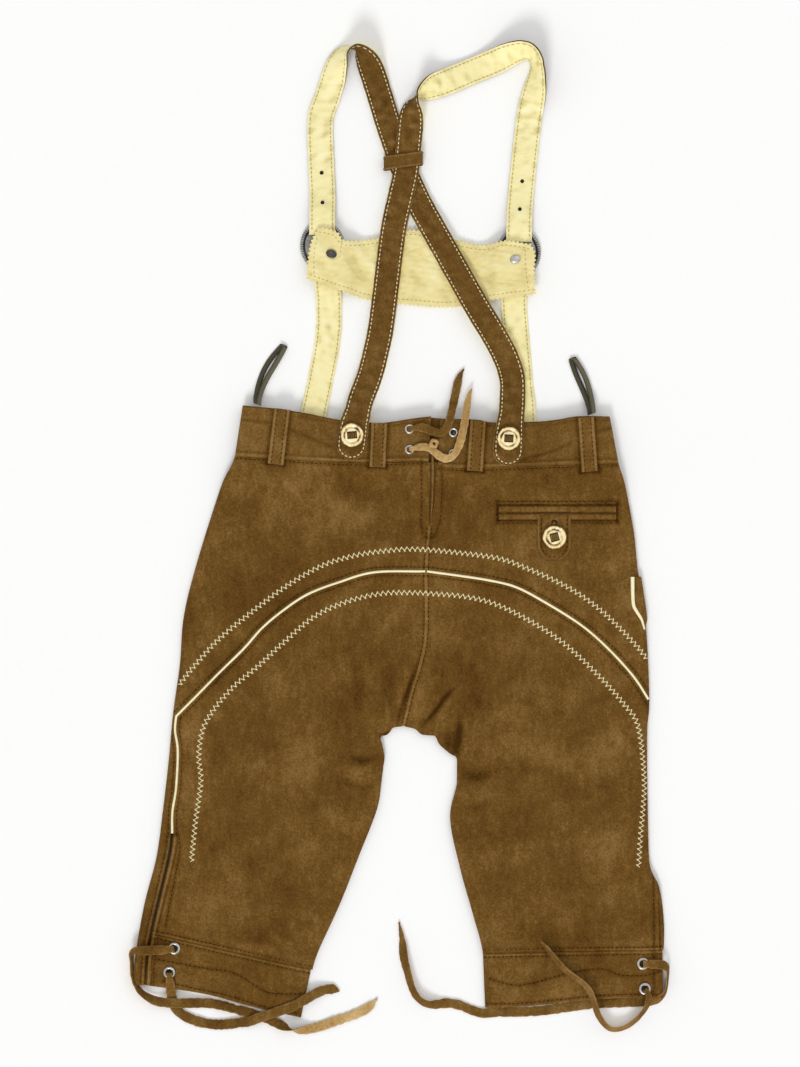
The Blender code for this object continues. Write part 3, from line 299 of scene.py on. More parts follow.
# Creases laid one by one: points, height (troughs are negative), width
CREASES = [([(49.5, -138), (36, -155), (18, -175)], -1.3, 5.0),
           ([(56, -132), (45, -149), (29, -171)], 0.9, 5.0),
           ([(53, -168), (54, -186), (50, -205)], -1.0, 4.0),
           ([(16, -110), (7, -140), (-2, -172)], -1.1, 4.0),
           ([(28, -108), (20, -132), (10, -160)], 0.8, 5.0),
           ([(-5, -120), (-12, -145), (-20, -168)], -0.9, 5.0),
           ([(-20, -112), (-30, -138), (-28, -172)], 0.7, 6.0),
           ([(-16, -196), (-32, -203), (-45, -199)], -0.9, 4.5),
           ([(-18, -214), (-36, -219), (-56, -210)], 0.9, 6.0),
           ([(-20, -238), (-42, -236), (-62, -222)], -0.8, 6.5),
           ([(-32, -265), (-60, -250), (-80, -228)], 0.6, 8.0),
           ([(50, -206), (70, -214), (88, -209)], -0.8, 5.5),
           ([(50, -232), (74, -236), (96, -228)], 0.6, 8.0),
           ([(-75, -372), (-108, -357), (-140, -358)], -0.7, 6.0),
           ([(-68, -352), (-100, -338), (-135, -342)], 0.5, 9.0),
           ([(80, -366), (118, -358), (160, -363)], -0.5, 8.0),
           ([(-130, 60), (-133, 30), (-142, 5)], -0.6, 9.0),
           ([(-96, 58), (-92, 38), (-80, 22)], 0.5, 9.0),
           ([(-62, 52), (-40, 40), (-10, 34)], -0.6, 10.0),
           ([(-70, 36), (-44, 20), (-6, 18)], 0.5, 10.0),
           ([(-8, 8), (-40, -2), (-66, 2)], -0.4, 10.0),
           ([(2, 56), (6, 30), (10, 6)], -0.5, 6.0),
           ([(48, 52), (52, 24), (60, -8)], -0.6, 8.0),
           ([(60, 54), (66, 30), (78, 0)], 0.5, 8.0),
           ([(92, 50), (120, 42), (150, 46)], -0.5, 9.0),
           ([(176, 50), (182, 32), (196, 22)], -0.5, 8.0),
           ([(150, -22), (170, -40), (196, -52)], -0.4, 10.0),
           ([(-176, -52), (-150, -36), (-120, -30)], -0.4, 12.0),
           ([(-190, -180), (-176, -205), (-182, -236)], 0.7, 8.0),
           ([(-168, -170), (-140, -186), (-110, -188)], -0.35, 14.0),
           ([(200, -170), (170, -190), (140, -190)], -0.35, 14.0),
           ([(-150, -250), (-130, -290), (-140, -330)], -0.4, 14.0),
           ([(130, -250), (150, -290), (140, -335)], -0.4, 14.0),
           ([(190, -250), (186, -290), (196, -330)], 0.4, 12.0),
           ([(-82, 103), (-66, 92), (-58, 78)], -0.45, 5.0),
           ([(-10, 98), (-2, 84), (2, 68)], -0.4, 4.5),
           ([(122, 98), (128, 84), (122, 70)], -0.4, 6.0)]
CREASES = [(smooth(points, 1.5), height, width) for points, height, width in CREASES]
# Sharp creases and hollows at the crotch: points, height, width, tone, which is painted shade in
# the hollows and painted light on the ridges
PINCHES = [([(50.5, -137.2), (41.1, -146.5), (33.9, -156.6), (26.8, -165.2), (18.9, -174.5)],
            -1.8, 1.5, -0.42),
           ([(54, -136), (45, -147), (37, -158), (30, -168)], 0.8, 2.6, 0.10),
           ([(37.9, -119), (37.9, -134)], -0.8, 1.2, -0.30),
           ([(52.6, -165), (53.4, -175), (51.4, -188), (48.3, -200)], -1.8, 2.8, -0.42),
           ([(42, -176), (44, -186), (46, -198)], -1.0, 5.5, -0.24),
           ([(57.5, -166), (58, -180), (56, -200)], 0.6, 3.0, 0.12),
           ([(16.4, -114), (12, -126), (3.1, -152), (-3.4, -176)], -1.2, 1.5, -0.36),
           ([(11, -124), (3.5, -144), (-2.5, -160)], 0.8, 2.8, 0.13),
           ([(-14, -148), (-10.2, -159), (-12, -171)], 0.7, 2.2, 0.12),
           ([(-8.4, -150), (-7.0, -162), (-6.9, -172)], -0.8, 2.0, -0.20),
           ([(-19, -182), (-13, -180.5), (-8, -177)], -1.2, 2.0, -0.40),
           ([(-12.7, -120), (-7.7, -137)], -0.5, 5.0, -0.12),
           ([(-46, -96), (-38, -128), (-36, -160)], -0.5, 6.0, -0.10),
           ([(62, -110), (70, -140), (66, -170)], -0.5, 7.0, -0.10),
           ([(-22, -206), (-36, -212), (-52, -207)], 0.8, 3.4, 0.10),
           ([(-18, -199), (-32, -204), (-48, -198)], -0.9, 2.6, -0.16),
           ([(-20, -224), (-38, -228), (-58, -218)], -0.8, 3.4, -0.15),
           ([(52, -212), (66, -219), (84, -215)], -0.7, 3.6, -0.14),
           ([(50, -240), (66, -244), (86, -236)], -0.5, 5.0, -0.10),
           ([(-98, -376), (-120, -366), (-150, -364)], -0.5, 4.0, -0.12)]
PINCHES = [(smooth(points, 1.5), *sizes) for points, *sizes in PINCHES]


def lift(x, y):
    """How far the garment is raised from the floor: at the waist, and over the hem laces."""
    corner = smoothstep(abs(x), *LACE_ROOM_X) * smoothstep(-y, *LACE_ROOM_Y)
    return WAIST_LIFT * smoothstep(y, *RAMP) + LACE_ROOM * corner


def back_top(points):
    """Height of the plain upper face of the back, which the part's solids follow."""
    points = np.atleast_2d(points)
    inside, _ = nearest(points, BORDER)
    full = FULLNESS * (1 - np.exp(-inside / FULLNESS_REACH))
    full *= 1 - (1 - WAIST_FULLNESS) * smoothstep(points[:, 1], *RAMP)
    return EDGE + lift(points[:, 0], points[:, 1]) + full


def close_to(points, curve, reach):
    """Numbers of the points in the box round a curve, grown by the reach."""
    low, high = curve[:, :2].min(0) - reach, curve[:, :2].max(0) + reach
    return np.flatnonzero(((points > low) & (points < high)).all(1))


def bump_along(points, curve, width, taper=False):
    """A ridge of height 1 along a curve, for each of the points."""
    ridge = np.zeros(len(points))
    near = close_to(points, curve, 3 * width)
    if len(near):
        dense = spaced(curve, max(12, int(way_along(curve[:, :2])[-1] / 0.7)))
        distance, share = nearest(points[near], dense)
        ridge[near] = np.exp(-(distance / width) ** 2)
        if taper:
            ridge[near] *= np.sin(np.pi * np.clip(share, 0.02, 0.98)) ** 0.7
    return ridge


def waves(points, size, seed, count=9):
    """Soft uneven undulation between about -1 and 1, with features of the given size."""
    own = np.random.default_rng(seed)
    total = np.zeros(len(points))
    for _ in range(count):
        angle, phase = own.uniform(0, 2 * np.pi, 2)
        turn = 2 * np.pi / (size * own.uniform(0.7, 1.6))
        total += np.sin((points[:, 0] * math.cos(angle) + points[:, 1] * math.sin(angle)) * turn
                        + phase)
    return total / math.sqrt(count)


def relief(points):
    """Height of the fine surface above back_top, and its tone: 0.5 is neutral, 0 is darkest. The
    tone is painted shade in valleys, seams, stitching and creases and painted light on ridges and
    folds, over a faint mottling.
    """
    height = 0.16 * waves(points, 34, 3) + 0.07 * waves(points, 11, 4)
    tone = 0.5 + 0.03 * waves(points, 60, 5)
    # Painted shade in each seam's valley and painted light on the leather raised beside it
    for curve, depth, width in SEAMS:
        valley = bump_along(points, curve, width)
        height -= depth * valley
        flank = bump_along(points, curve, 2.7) - valley
        height += 0.38 * flank
        tone += 0.13 * flank - 0.22 * np.sign(depth) * valley
    # Painted shade along each row of stitching, in the dip it pulls
    for curve in ROWS + BOX_ROWS:
        dip = bump_along(points, curve, 1.1)
        height -= 0.28 * dip
        tone -= 0.16 * bump_along(points, curve, 1.6)
    # Painted shade in the valleys round the welts
    for curve in WELT_EDGES:
        height -= 0.9 * bump_along(points, curve, 0.9)
        tone -= 0.3 * bump_along(points, curve, 1.2)
    for curve in LOOP_EDGES:
        shade = bump_along(points, curve, 1.8)
        height -= 0.25 * shade
        tone -= 0.26 * shade
    for curve, size, width, light in FOLDS:
        fold = bump_along(points, curve, width)
        height += size * fold
        tone += light * fold
    # Painted light on the crests of the creases and painted shade in their troughs
    for curve, size, width in CREASES:
        ridge = bump_along(points, curve, width, taper=True)
        height += 1.7 * size * ridge
        tone += 0.13 * size * ridge
    # Painted shade in the hollows and painted light on the ridges of the pinches
    for curve, size, width, light in PINCHES:
        ridge = bump_along(points, curve, width, taper=True)
        height += size * ridge
        tone += light * ridge
    return height, np.clip(tone, 0, 1)


def surface(points):
    """Height of the back's fine surface."""
    points = np.atleast_2d(points)[:, :2]
    return back_top(points) + relief(points)[0]


# ---------------------------------------------------------------- materials
class Shader:
    """A Principled material and short ways to add nodes to it."""

    def __init__(self, name, roughness, metallic=0.0, **sockets):
        self.material = bpy.data.materials.new(name)
        self.material.use_nodes = True
        self.nodes = self.material.node_tree.nodes
        self.links = self.material.node_tree.links
        self.main = self.nodes["Principled BSDF"]
        self.main.inputs["Roughness"].default_value = roughness
        self.main.inputs["Metallic"].default_value = metallic
        for socket, value in sockets.items():
            self.main.inputs[socket.replace("_", " ")].default_value = value
        self.place = self.nodes.new("ShaderNodeTexCoord").outputs["Object"]

    def stretched(self, scale, turn=0.0):
        node = self.nodes.new("ShaderNodeMapping")
        node.inputs["Scale"].default_value = scale
        node.inputs["Rotation"].default_value = (0, 0, turn)
        self.links.new(self.place, node.inputs["Vector"])
        return node.outputs["Vector"]

    def noise(self, scale, detail=3.0, rough=0.55, vector=None, distort=0.0):
        node = self.nodes.new("ShaderNodeTexNoise")
        node.inputs["Scale"].default_value = scale
        node.inputs["Detail"].default_value = detail
        node.inputs["Roughness"].default_value = rough
        node.inputs["Distortion"].default_value = distort
        self.links.new(vector or self.place, node.inputs["Vector"])
        return node.outputs["Fac"]

    def cells(self, scale, vector=None, feature="F1"):
        node = self.nodes.new("ShaderNodeTexVoronoi")
        node.feature = feature
        node.inputs["Scale"].default_value = scale
        self.links.new(vector or self.place, node.inputs["Vector"])
        return node.outputs["Distance"]

    def attribute(self, name):
        node = self.nodes.new("ShaderNodeAttribute")
        node.attribute_name = name
        return node.outputs["Fac"]

    def math(self, kind, a, b):
        node = self.nodes.new("ShaderNodeMath")
        node.operation = kind
        for socket, value in zip(node.inputs, (a, b)):
            if hasattr(value, "is_linked"):
                self.links.new(value, socket)
            else:
                socket.default_value = value
        return node.outputs[0]

    def blend(self, *parts):
        """0.5 plus each (value, weight) taken from 0.5."""
        total = 0.5
        for value, weight in parts:
            total = self.math("ADD", self.math("MULTIPLY", self.math("SUBTRACT", value, 0.5),
                                               weight), total)
        return total

    def ramp(self, value, *stops):
        """Colours (position, (r, g, b)) along a value."""
        node = self.nodes.new("ShaderNodeValToRGB")
        ramp = node.color_ramp
        while len(ramp.elements) < len(stops):
            ramp.elements.new(0.5)
        for element, (position, colour) in zip(ramp.elements, stops):
            element.position = position
            element.color = (*colour, 1)
        self.links.new(value, node.inputs["Fac"])
        return node.outputs["Color"]

    def colour(self, output):
        self.links.new(output, self.main.inputs["Base Color"])

    def rough(self, output):
        self.links.new(output, self.main.inputs["Roughness"])

    def bump(self, value, depth, strength=1.0):
        node = self.nodes.new("ShaderNodeBump")
        node.inputs["Strength"].default_value = strength
        node.inputs["Distance"].default_value = depth
        self.links.new(value, node.inputs["Height"])
        self.links.new(node.outputs["Normal"], self.main.inputs["Normal"])


def suede(name, dark, base, light, mottle=1.0):
    """Napped leather: clouds and brush marks over a fine grain, darker where the tone is low."""
    shader = Shader(name, 0.95, Sheen_Weight=0.05, Sheen_Roughness=0.45,
                    Specular_IOR_Level=0.12)
    shader.main.inputs["Sheen Tint"].default_value = (0.75, 0.55, 0.35, 1)
    clouds = shader.noise(13, 4, 0.55, distort=0.6)
    patches = shader.noise(62, 5, 0.62, distort=0.3)
    brushed = shader.noise(210, 4, 0.6, shader.stretched((1.0, 0.35, 1.0), 0.35))
    flecks = shader.noise(420, 3, 0.6)
    grain = shader.noise(900, 3, 0.65)
    tone = shader.attribute("tone")
    value = shader.blend((clouds, 0.85 * mottle), (patches, 0.60 * mottle),
                         (brushed, 0.50 * mottle), (flecks, 0.65), (grain, 0.80), (tone, 1.5))
    shader.colour(shader.ramp(value, (0.0, dark), (0.5, base), (1.0, light)))
    shader.bump(shader.blend((grain, 1.0), (brushed, 0.5), (patches, 0.4)), 0.0009, 0.55)
    return shader.material


def leather(name, dark, base, light):
    """Soft cream leather with fine wrinkles and pores."""
    shader = Shader(name, 0.72, Specular_IOR_Level=0.3)
    clouds = shader.noise(24, 4, 0.6, distort=0.5)
    wrinkles = shader.noise(120, 5, 0.6, shader.stretched((0.45, 1.2, 1.0), 0.5), 0.8)
    pores = shader.cells(1100)
    tone = shader.attribute("tone")
    value = shader.blend((clouds, 0.42), (wrinkles, 0.48), (pores, 0.12), (tone, 1.3))
    shader.colour(shader.ramp(value, (0.0, dark), (0.5, base), (1.0, light)))
    shader.bump(shader.blend((wrinkles, 1.0), (pores, 0.25), (clouds, 0.4)), 0.0011, 0.5)
    return shader.material


def thread(name, dark, light, roughness=0.85):
    shader = Shader(name, roughness, Specular_IOR_Level=0.08)
    ply = shader.noise(1800, 2, 0.5)
    shader.colour(shader.ramp(ply, (0.3, dark), (0.7, light)))
    shader.bump(ply, 0.0002, 0.5)
    return shader.material


def metal(name, dark, light, roughness, scale=220.0):
    shader = Shader(name, roughness, 1.0)
    worn = shader.noise(scale, 5, 0.65)
    fine = shader.noise(1500, 3, 0.6)
    tone = shader.attribute("tone")
    value = shader.blend((worn, 0.9), (fine, 0.3), (tone, 1.6))
    shader.colour(shader.ramp(value, (0.1, dark), (0.75, light)))
    shader.rough(shader.math("ADD", shader.math("MULTIPLY", worn, 0.3), roughness - 0.15))
    shader.bump(shader.blend((worn, 1.0), (fine, 0.5)), 0.0003, 0.4)
    return shader.material


def horn_material():
    """Light polished horn: pale cream with golden-brown streaks, most of them at the rim."""
    shader = Shader("horn", 0.28, Coat_Weight=0.35, Coat_Roughness=0.15)
    streaks = shader.noise(260, 5, 0.6, shader.stretched((1.0, 0.3, 1.0), 0.9), 1.2)
    spots = shader.noise(420, 3, 0.5)
    tone = shader.attribute("tone")
    value = shader.blend((streaks, 0.9), (spots, 0.6), (tone, 1.9))
    shader.colour(shader.ramp(value, (0.05, (0.07, 0.022, 0.002)), (0.32, (0.38, 0.18, 0.03)),
                              (0.52, (0.80, 0.62, 0.26)), (0.72, (0.96, 0.86, 0.52))))
    shader.bump(streaks, 0.0005, 0.5)
    return shader.material


def tape_material():
    """Herringbone tape of grey-green yarn."""
    shader = Shader("tape", 0.9)
    bars = shader.nodes.new("ShaderNodeTexWave")
    bars.inputs["Scale"].default_value = 420
    bars.inputs["Distortion"].default_value = 1.5
    shader.links.new(shader.stretched((0.5, 1.0, 1.0), 0.7), bars.inputs["Vector"])
    fuzz = shader.noise(900, 3, 0.6)
    value = shader.blend((bars.outputs["Fac"], 0.5), (fuzz, 0.6), (shader.attribute("tone"), 1.2))
    shader.colour(shader.ramp(value, (0.1, (0.016, 0.013, 0.004)), (0.5, (0.070, 0.062, 0.033)),
                              (0.95, (0.20, 0.18, 0.11))))
    shader.bump(value, 0.0004, 0.6)
    return shader.material


BROWN = ((0.058, 0.022, 0.001), (0.146, 0.070, 0.0115), (0.290, 0.165, 0.050))
BROWN_LIGHT = ((0.068, 0.027, 0.002), (0.165, 0.083, 0.016), (0.320, 0.190, 0.066))
BROWN_STRAP = ((0.062, 0.027, 0.003), (0.145, 0.072, 0.0135), (0.270, 0.155, 0.048))
CREAM = ((0.50, 0.42, 0.16), (0.94, 0.84, 0.42), (1.0, 0.96, 0.66))
CREAM_BIB = ((0.42, 0.33, 0.11), (0.84, 0.72, 0.32), (0.98, 0.90, 0.54))
CREAM_PIPING = ((0.60, 0.48, 0.20), (0.98, 0.90, 0.58), (1.0, 0.97, 0.76))
TAN = ((0.22, 0.11, 0.025), (0.50, 0.31, 0.115), (0.72, 0.53, 0.27))
MATERIALS = {
    "suede": suede("suede", *BROWN), "band": suede("band", *BROWN_LIGHT, 0.8),
    "strap": suede("strap_suede", *BROWN_STRAP, 0.7), "lace": suede("lace_suede", *BROWN_LIGHT),
    "tan": suede("lace_tan", *TAN), "cream": leather("cream_leather", *CREAM),
    "bib": leather("bib_leather", *CREAM_BIB),
    "piping": leather("piping_leather", *CREAM_PIPING),
    "dark": thread("dark_thread", (0.026, 0.009, 0.0005), (0.052, 0.020, 0.002)),
    "pale": thread("cream_thread", (0.72, 0.60, 0.30), (0.93, 0.86, 0.58)),
    "grey": thread("tan_thread", (0.34, 0.27, 0.12), (0.52, 0.43, 0.20)),
    "silver": metal("silver", (0.25, 0.24, 0.22), (0.80, 0.79, 0.76), 0.32),
    "antique": metal("antique_silver", (0.03, 0.028, 0.026), (0.55, 0.54, 0.52), 0.40),
    "iron": metal("dark_metal", (0.02, 0.018, 0.016), (0.16, 0.14, 0.12), 0.45),
    "horn": horn_material(), "tape": tape_material()}
# Near-black painted shade, for the punched holes, the thongs' holes, the eyelets' holes and the
# left slit
HOLE = Shader("hole", 0.9)
HOLE.colour(HOLE.ramp(HOLE.noise(300), (0.3, (0.006, 0.004, 0.002)), (0.8, (0.02, 0.012, 0.006))))
MATERIALS["hole"] = HOLE.material


# ---------------------------------------------------------------- mesh tools
def piece(name, points, faces, material, slot, nodes=(), tone=None, angle=45, second=None):
    """A mesh object from points in millimetres that rides on the body, in place of the nodes.

    second is (material, face numbers) for faces with another finish."""
    mesh = bpy.data.meshes.new(name)
    placed = (np.asarray(points, float) + PLACE) * MM
    mesh.from_pydata(placed.tolist(), [], [list(map(int, face)) for face in faces])
    mesh.materials.append(MATERIALS[material])
    if second:
        mesh.materials.append(MATERIALS[second[0]])
        index = np.zeros(len(mesh.polygons), np.int32)
        index[second[1]] = 1
        mesh.polygons.foreach_set("material_index", index)
    layer = mesh.attributes.new("tone", "FLOAT", "POINT")
    values = np.full(len(placed), 0.5) if tone is None else np.asarray(tone, float)
    layer.data.foreach_set("value", values.astype(np.float32))
    mesh.shade_smooth()
    mesh.set_sharp_from_angle(angle=math.radians(angle))
    made = bpy.data.objects.new(name, mesh)
    bpy.context.collection.objects.link(made)
    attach(made, "root")
    if nodes:
        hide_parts(*nodes)
    return made


def grid_faces(rows, columns, first=0, flip=False, ring=False):
    """Quads of a grid of points, whose columns close up in a ring if asked."""
    r, c = np.meshgrid(np.arange(rows - 1), np.arange(columns if ring else columns - 1),
                       indexing="ij")
    a = first + r * columns + c
    b = first + r * columns + (c + 1) % columns
    quads = np.stack([a, b, b + columns, a + columns], axis=-1).reshape(-1, 4)
    return quads[:, ::-1] if flip else quads


def shell_mesh(outer, inner, ring=False):
    """Points and faces of a closed wall between two grids of points; outer faces come first."""
    outer, inner = np.asarray(outer, float), np.asarray(inner, float)
    rows, columns = outer.shape[:2]
    base = rows * columns
    faces = [grid_faces(rows, columns, 0, False, ring), grid_faces(rows, columns, base, True, ring)]
    c = np.arange(columns if ring else columns - 1)
    after = (c + 1) % columns
    for row, flip in ((0, True), (rows - 1, False)):
        wall = np.stack([row * columns + c, row * columns + after,
                         base + row * columns + after, base + row * columns + c], axis=-1)
        faces.append(wall[:, ::-1] if flip else wall)
    if not ring:
        r = np.arange(rows - 1) * columns
        for column, flip in ((0, False), (columns - 1, True)):
            wall = np.stack([r + column, r + columns + column, base + r + columns + column,
                             base + r + column], axis=-1)
            faces.append(wall[:, ::-1] if flip else wall)
    return np.vstack([outer.reshape(-1, 3), inner.reshape(-1, 3)]), np.vstack(faces)


def outward(points, faces):
    """The faces turned so that the closed mesh has a positive volume."""
    corners = points[np.asarray([face[:3] for face in faces])]
    volume = np.einsum("ij,ij->i", corners[:, 0], np.cross(corners[:, 1], corners[:, 2])).sum()
    return faces if volume > 0 else np.asarray(faces)[:, ::-1]


def wall(name, outer, inner, material, slot, nodes=(), tone=None, ring=False, second=None):
    """A piece that fills the space between two grids; the tone is that of the outer grid."""
    points, faces = shell_mesh(outer, inner, ring)
    return piece(name, points, outward(points, faces), material, slot, nodes,
                 None if tone is None else np.tile(np.ravel(tone), 2), second=second)


def coons(bottom, top, left, right, across, along):
    """A grid of (x, y) between four curves; left and right run from bottom to top."""
    bottom, top = spaced(bottom, across + 1)[None], spaced(top, across + 1)[None]
    left, right = spaced(left, along + 1)[:, None], spaced(right, along + 1)[:, None]
    u = np.linspace(0, 1, across + 1)[None, :, None]
    v = np.linspace(0, 1, along + 1)[:, None, None]
    corners = ((1 - u) * (1 - v) * bottom[:, :1] + u * (1 - v) * bottom[:, -1:]
               + (1 - u) * v * top[:, :1] + u * v * top[:, -1:])
    return (1 - v) * bottom + v * top + (1 - u) * left + u * right - corners


def borders(grid):
    """Index, points and inward normals of each of the four sides of a flat grid."""
    for side, neighbour in ((np.s_[0], np.s_[1]), (np.s_[-1], np.s_[-2]),
                            (np.s_[:, 0], np.s_[:, 1]), (np.s_[:, -1], np.s_[:, -2])):
        line = grid[side]
        normal = normals_of(line)
        inward = np.sign(np.sum(normal * (grid[neighbour] - line), axis=1, keepdims=True))
        yield side, line, normal * inward


def inset(grid, distance=0.02):
    """Pulls the four sides of a grid inwards, so that neighbours stay clear of each other."""
    moved = grid.copy()
    for side, _, inward in borders(grid):
        moved[side] += inward * distance
    return moved


def flat_size(grid):
    """Width, length and area of a flat grid's cut, in metres."""
    low, high = grid.reshape(-1, 2).min(0), grid.reshape(-1, 2).max(0)
    one, two = grid[1:, 1:] - grid[:-1, :-1], grid[1:, :-1] - grid[:-1, 1:]
    area = np.abs(one[..., 0] * two[..., 1] - one[..., 1] * two[..., 0]).sum() / 2
    return (high - low) * MM, area * MM**2


def declare(grid):
    """Works out the width, length and area of a piece of cloth's flat cut, and keeps none of them.
    """
    size, area = flat_size(grid)
    tuple(size)
    min(area, size[0] * size[1])


def panel(name, grid, thick, material, slot, nodes, extra=0.0):
    """A back panel on the fine surface."""
    flat = grid.reshape(-1, 2)
    height, tone = relief(flat)
    top = back_top(flat) + height + extra
    outer = np.column_stack([flat, top]).reshape(*grid.shape[:2], 3)
    inner = outer - (0, 0, thick)
    points, faces = shell_mesh(outer, inner)
    # The lower face gets a darker tone: painted shade
    made = piece(name, points, outward(points, faces), material, slot, nodes,
                 np.concatenate([tone, tone * 0.8]))
    declare(grid)
    return made


# ---------------------------------------------------------------- back panels
def inside_edge(curve, distance):
    """The curve moved towards x = 0."""
    moved = np.array(curve[:, :2])
    moved[:, 0] -= np.sign(moved[:, 0]) * distance
    return moved


def back_panels():
    """The two yokes above the piping, and the two legs below it."""
    seam = CURVES["centre"]
    waist = CURVES["waist_seam"] + (0, 0.3)
    below_arch = down(seam, -33.6, -173)
    hip = inside_edge(down(CURVES["outer_left"], -163, 69.5), LIP + 0.1)
    left_top = between(waist, hip[-1][0], 27)
    left_middle = join(CURVES["slit_left"], down(seam, 8, -33.8))[::-1]
    right_hip = down(CURVES["outer_right"], -151, 63.5)
    right_top = between(waist, 33, 196)
    right_middle = join(CURVES["slit_right"], down(seam, 8, -33.8))[::-1]
    right_middle[-12:, 1] += np.linspace(0, 1, 12) * (right_top[0, 1] - right_middle[-1, 1])
    yokes = (("yoke_left", coons(CURVES["arch_left"][::-1], left_top, hip, left_middle,
                                 int(220 / GRID), int(180 / GRID))),
             ("yoke_right", coons(CURVES["arch_right"], right_top, right_middle, right_hip,
                                  int(210 / GRID), int(170 / GRID))))
    for name, grid in yokes:
        panel(name, inset(grid), SUEDE, "suede", "suede", ["back_" + name])
    side = join(CURVES["side_piping"], CURVES["side_slit"])
    inner = join(below_arch, smooth(CROTCH_LEFT, 1), down(CURVES["inner_left"], -226, -392))
    leg_left = coons(CURVES["cuff_seam_left"], CURVES["arch_left"][::-1], side[::-1],
                     inner[::-1], int(210 / GRID), int(290 / GRID))
    inner = join(below_arch, smooth(CROTCH_RIGHT, 1),
                 down(CURVES["inner_right"], -225, -377.6))
    outer = down(CURVES["outer_right"], -151, -374)
    leg_right = coons(CURVES["cuff_seam_right"], CURVES["arch_right"], inner[::-1],
                      outer[::-1], int(200 / GRID), int(290 / GRID))
    for name, grid in (("leg_left", leg_left), ("leg_right", leg_right)):
        panel(name, inset(grid), SUEDE, "suede", "suede", ["back_" + name])


# ---------------------------------------------------------------- front panels and cuffs
FLAP = {"left": -49.0, "right": 101.0, "bottom": -72.0}
FRONT_LEFT_ROWS = [(70.2, 63.6), (62, 58), (50, 50), (38, 38), (24, 24), (0, 0), (-36, -36),
                   (-70.5, -70.5), (-73.5, -73.5), (-110, -110), (-145, -145), (-160, -163),
                   (-168, -172.5), (-178, -181), (-200, -204), (-226, -226), (-249, -258),
                   (-270, -290), (-300, -322), (-330, -357), (-358.9, -391.6)]
FRONT_RIGHT_ROWS = [(62, 58), (50, 50), (38, 38), (24, 24), (0, 0), (-36, -36),
                    (-70.5, -70.5), (-73.5, -73.5), (-110, -110), (-145, -145),
                    (-163, -163), (-170, -172.5), (-176, -180), (-184, -192), (-198, -202),
                    (-226, -226), (-257, -257), (-300, -301), (-345, -345), (-373, -376)]


def finer(rows, times):
    """The rows of a table with others between them."""
    rows = np.array(rows, float)
    places = np.linspace(0, len(rows) - 1, (len(rows) - 1) * times + 1)
    return np.column_stack([np.interp(places, np.arange(len(rows)), rows[:, k]) for k in (0, 1)])


def inner_edge(side, y):
    """x of the front panel's inner edge: beside the flap, at the centre seam or on the leg."""
    if y > FLAP["bottom"]:
        return FLAP[side]
    if y > -173:
        return float(x_at(CURVES["centre"], y))
    return float(x_at(CURVES["inner_" + side], y))


def front_left():
    """The left front wraps round the outline onto the back, as far as the side piping."""
    side = join(CURVES["side_piping"], CURVES["side_slit"])
    angles = np.radians(np.linspace(-90, 90, 11))[1:-1]
    outer, inner, flat = [], [], []
    for y_outer, y_inner in finer(FRONT_LEFT_ROWS, 6):
        start = inner_edge("left", y_inner) - GAP
        fold = float(x_at(CURVES["outer_left"], y_outer)) + ROUND
        seam = float(x_at(side, y_outer)) - EASE if y_outer < -164 else fold - ROUND + LIP
        seam = max(seam, fold + 0.4)
        x = np.linspace(start, fold, 24)
        y = y_inner + (y_outer - y_inner) * (x - start) / (fold - start)
        under = np.column_stack([x, y, lift(x, y)])
        base = lift(fold, y_outer) + ROUND
        arc = [np.column_stack([fold - radius * np.cos(angles), np.full(9, y_outer),
                                base + radius * np.sin(angles)])
               for radius in (ROUND, FOLD_INSIDE)]
        x = np.linspace(fold, seam, 9)
        over = np.column_stack([x, np.full(9, y_outer)])
        over = np.column_stack([over, surface(over)])
        outer.append(np.vstack([under, arc[0], over]))
        inner.append(np.vstack([under + (0, 0, SUEDE), arc[1], over - (0, 0, SUEDE - 0.1)]))
        flat.append(np.column_stack([np.linspace(start, fold - (seam - fold), 30),
                                     np.linspace(y_inner, y_outer, 30)]))
    outer = np.array(outer)
    points, faces = shell_mesh(outer, inner)
    tone = relief(points[:, :2])[1]
    made = piece("front_left_suede", points, outward(points, faces), "suede", "suede",
                 ["front_left"], tone)
    declare(np.array(flat))


def front_right():
    """The right front, flat on the floor."""
    flat = []
    for y_outer, y_inner in finer(FRONT_RIGHT_ROWS, 5):
        start = inner_edge("right", y_inner) + GAP
        proud = 2.0 * math.exp(-((y_outer + 350) / 30) ** 2)
        end = float(x_at(CURVES["outer_right"], y_outer)) + proud - 0.5
        x = np.linspace(start, end, 30)
        flat.append(np.column_stack([x, y_inner + (y_outer - y_inner) * (x - start)
                                     / (end - start)]))
    flat = np.array(flat)
    low = np.dstack([flat, lift(flat[..., 0], flat[..., 1])])
    points, faces = shell_mesh(low + (0, 0, SUEDE), low)
    made = piece("front_right_suede", points, outward(points, faces), "suede", "suede",
                 ["front_right"], 0.5 + 0.05 * waves(points[:, :2], 40, 11))
    declare(flat)


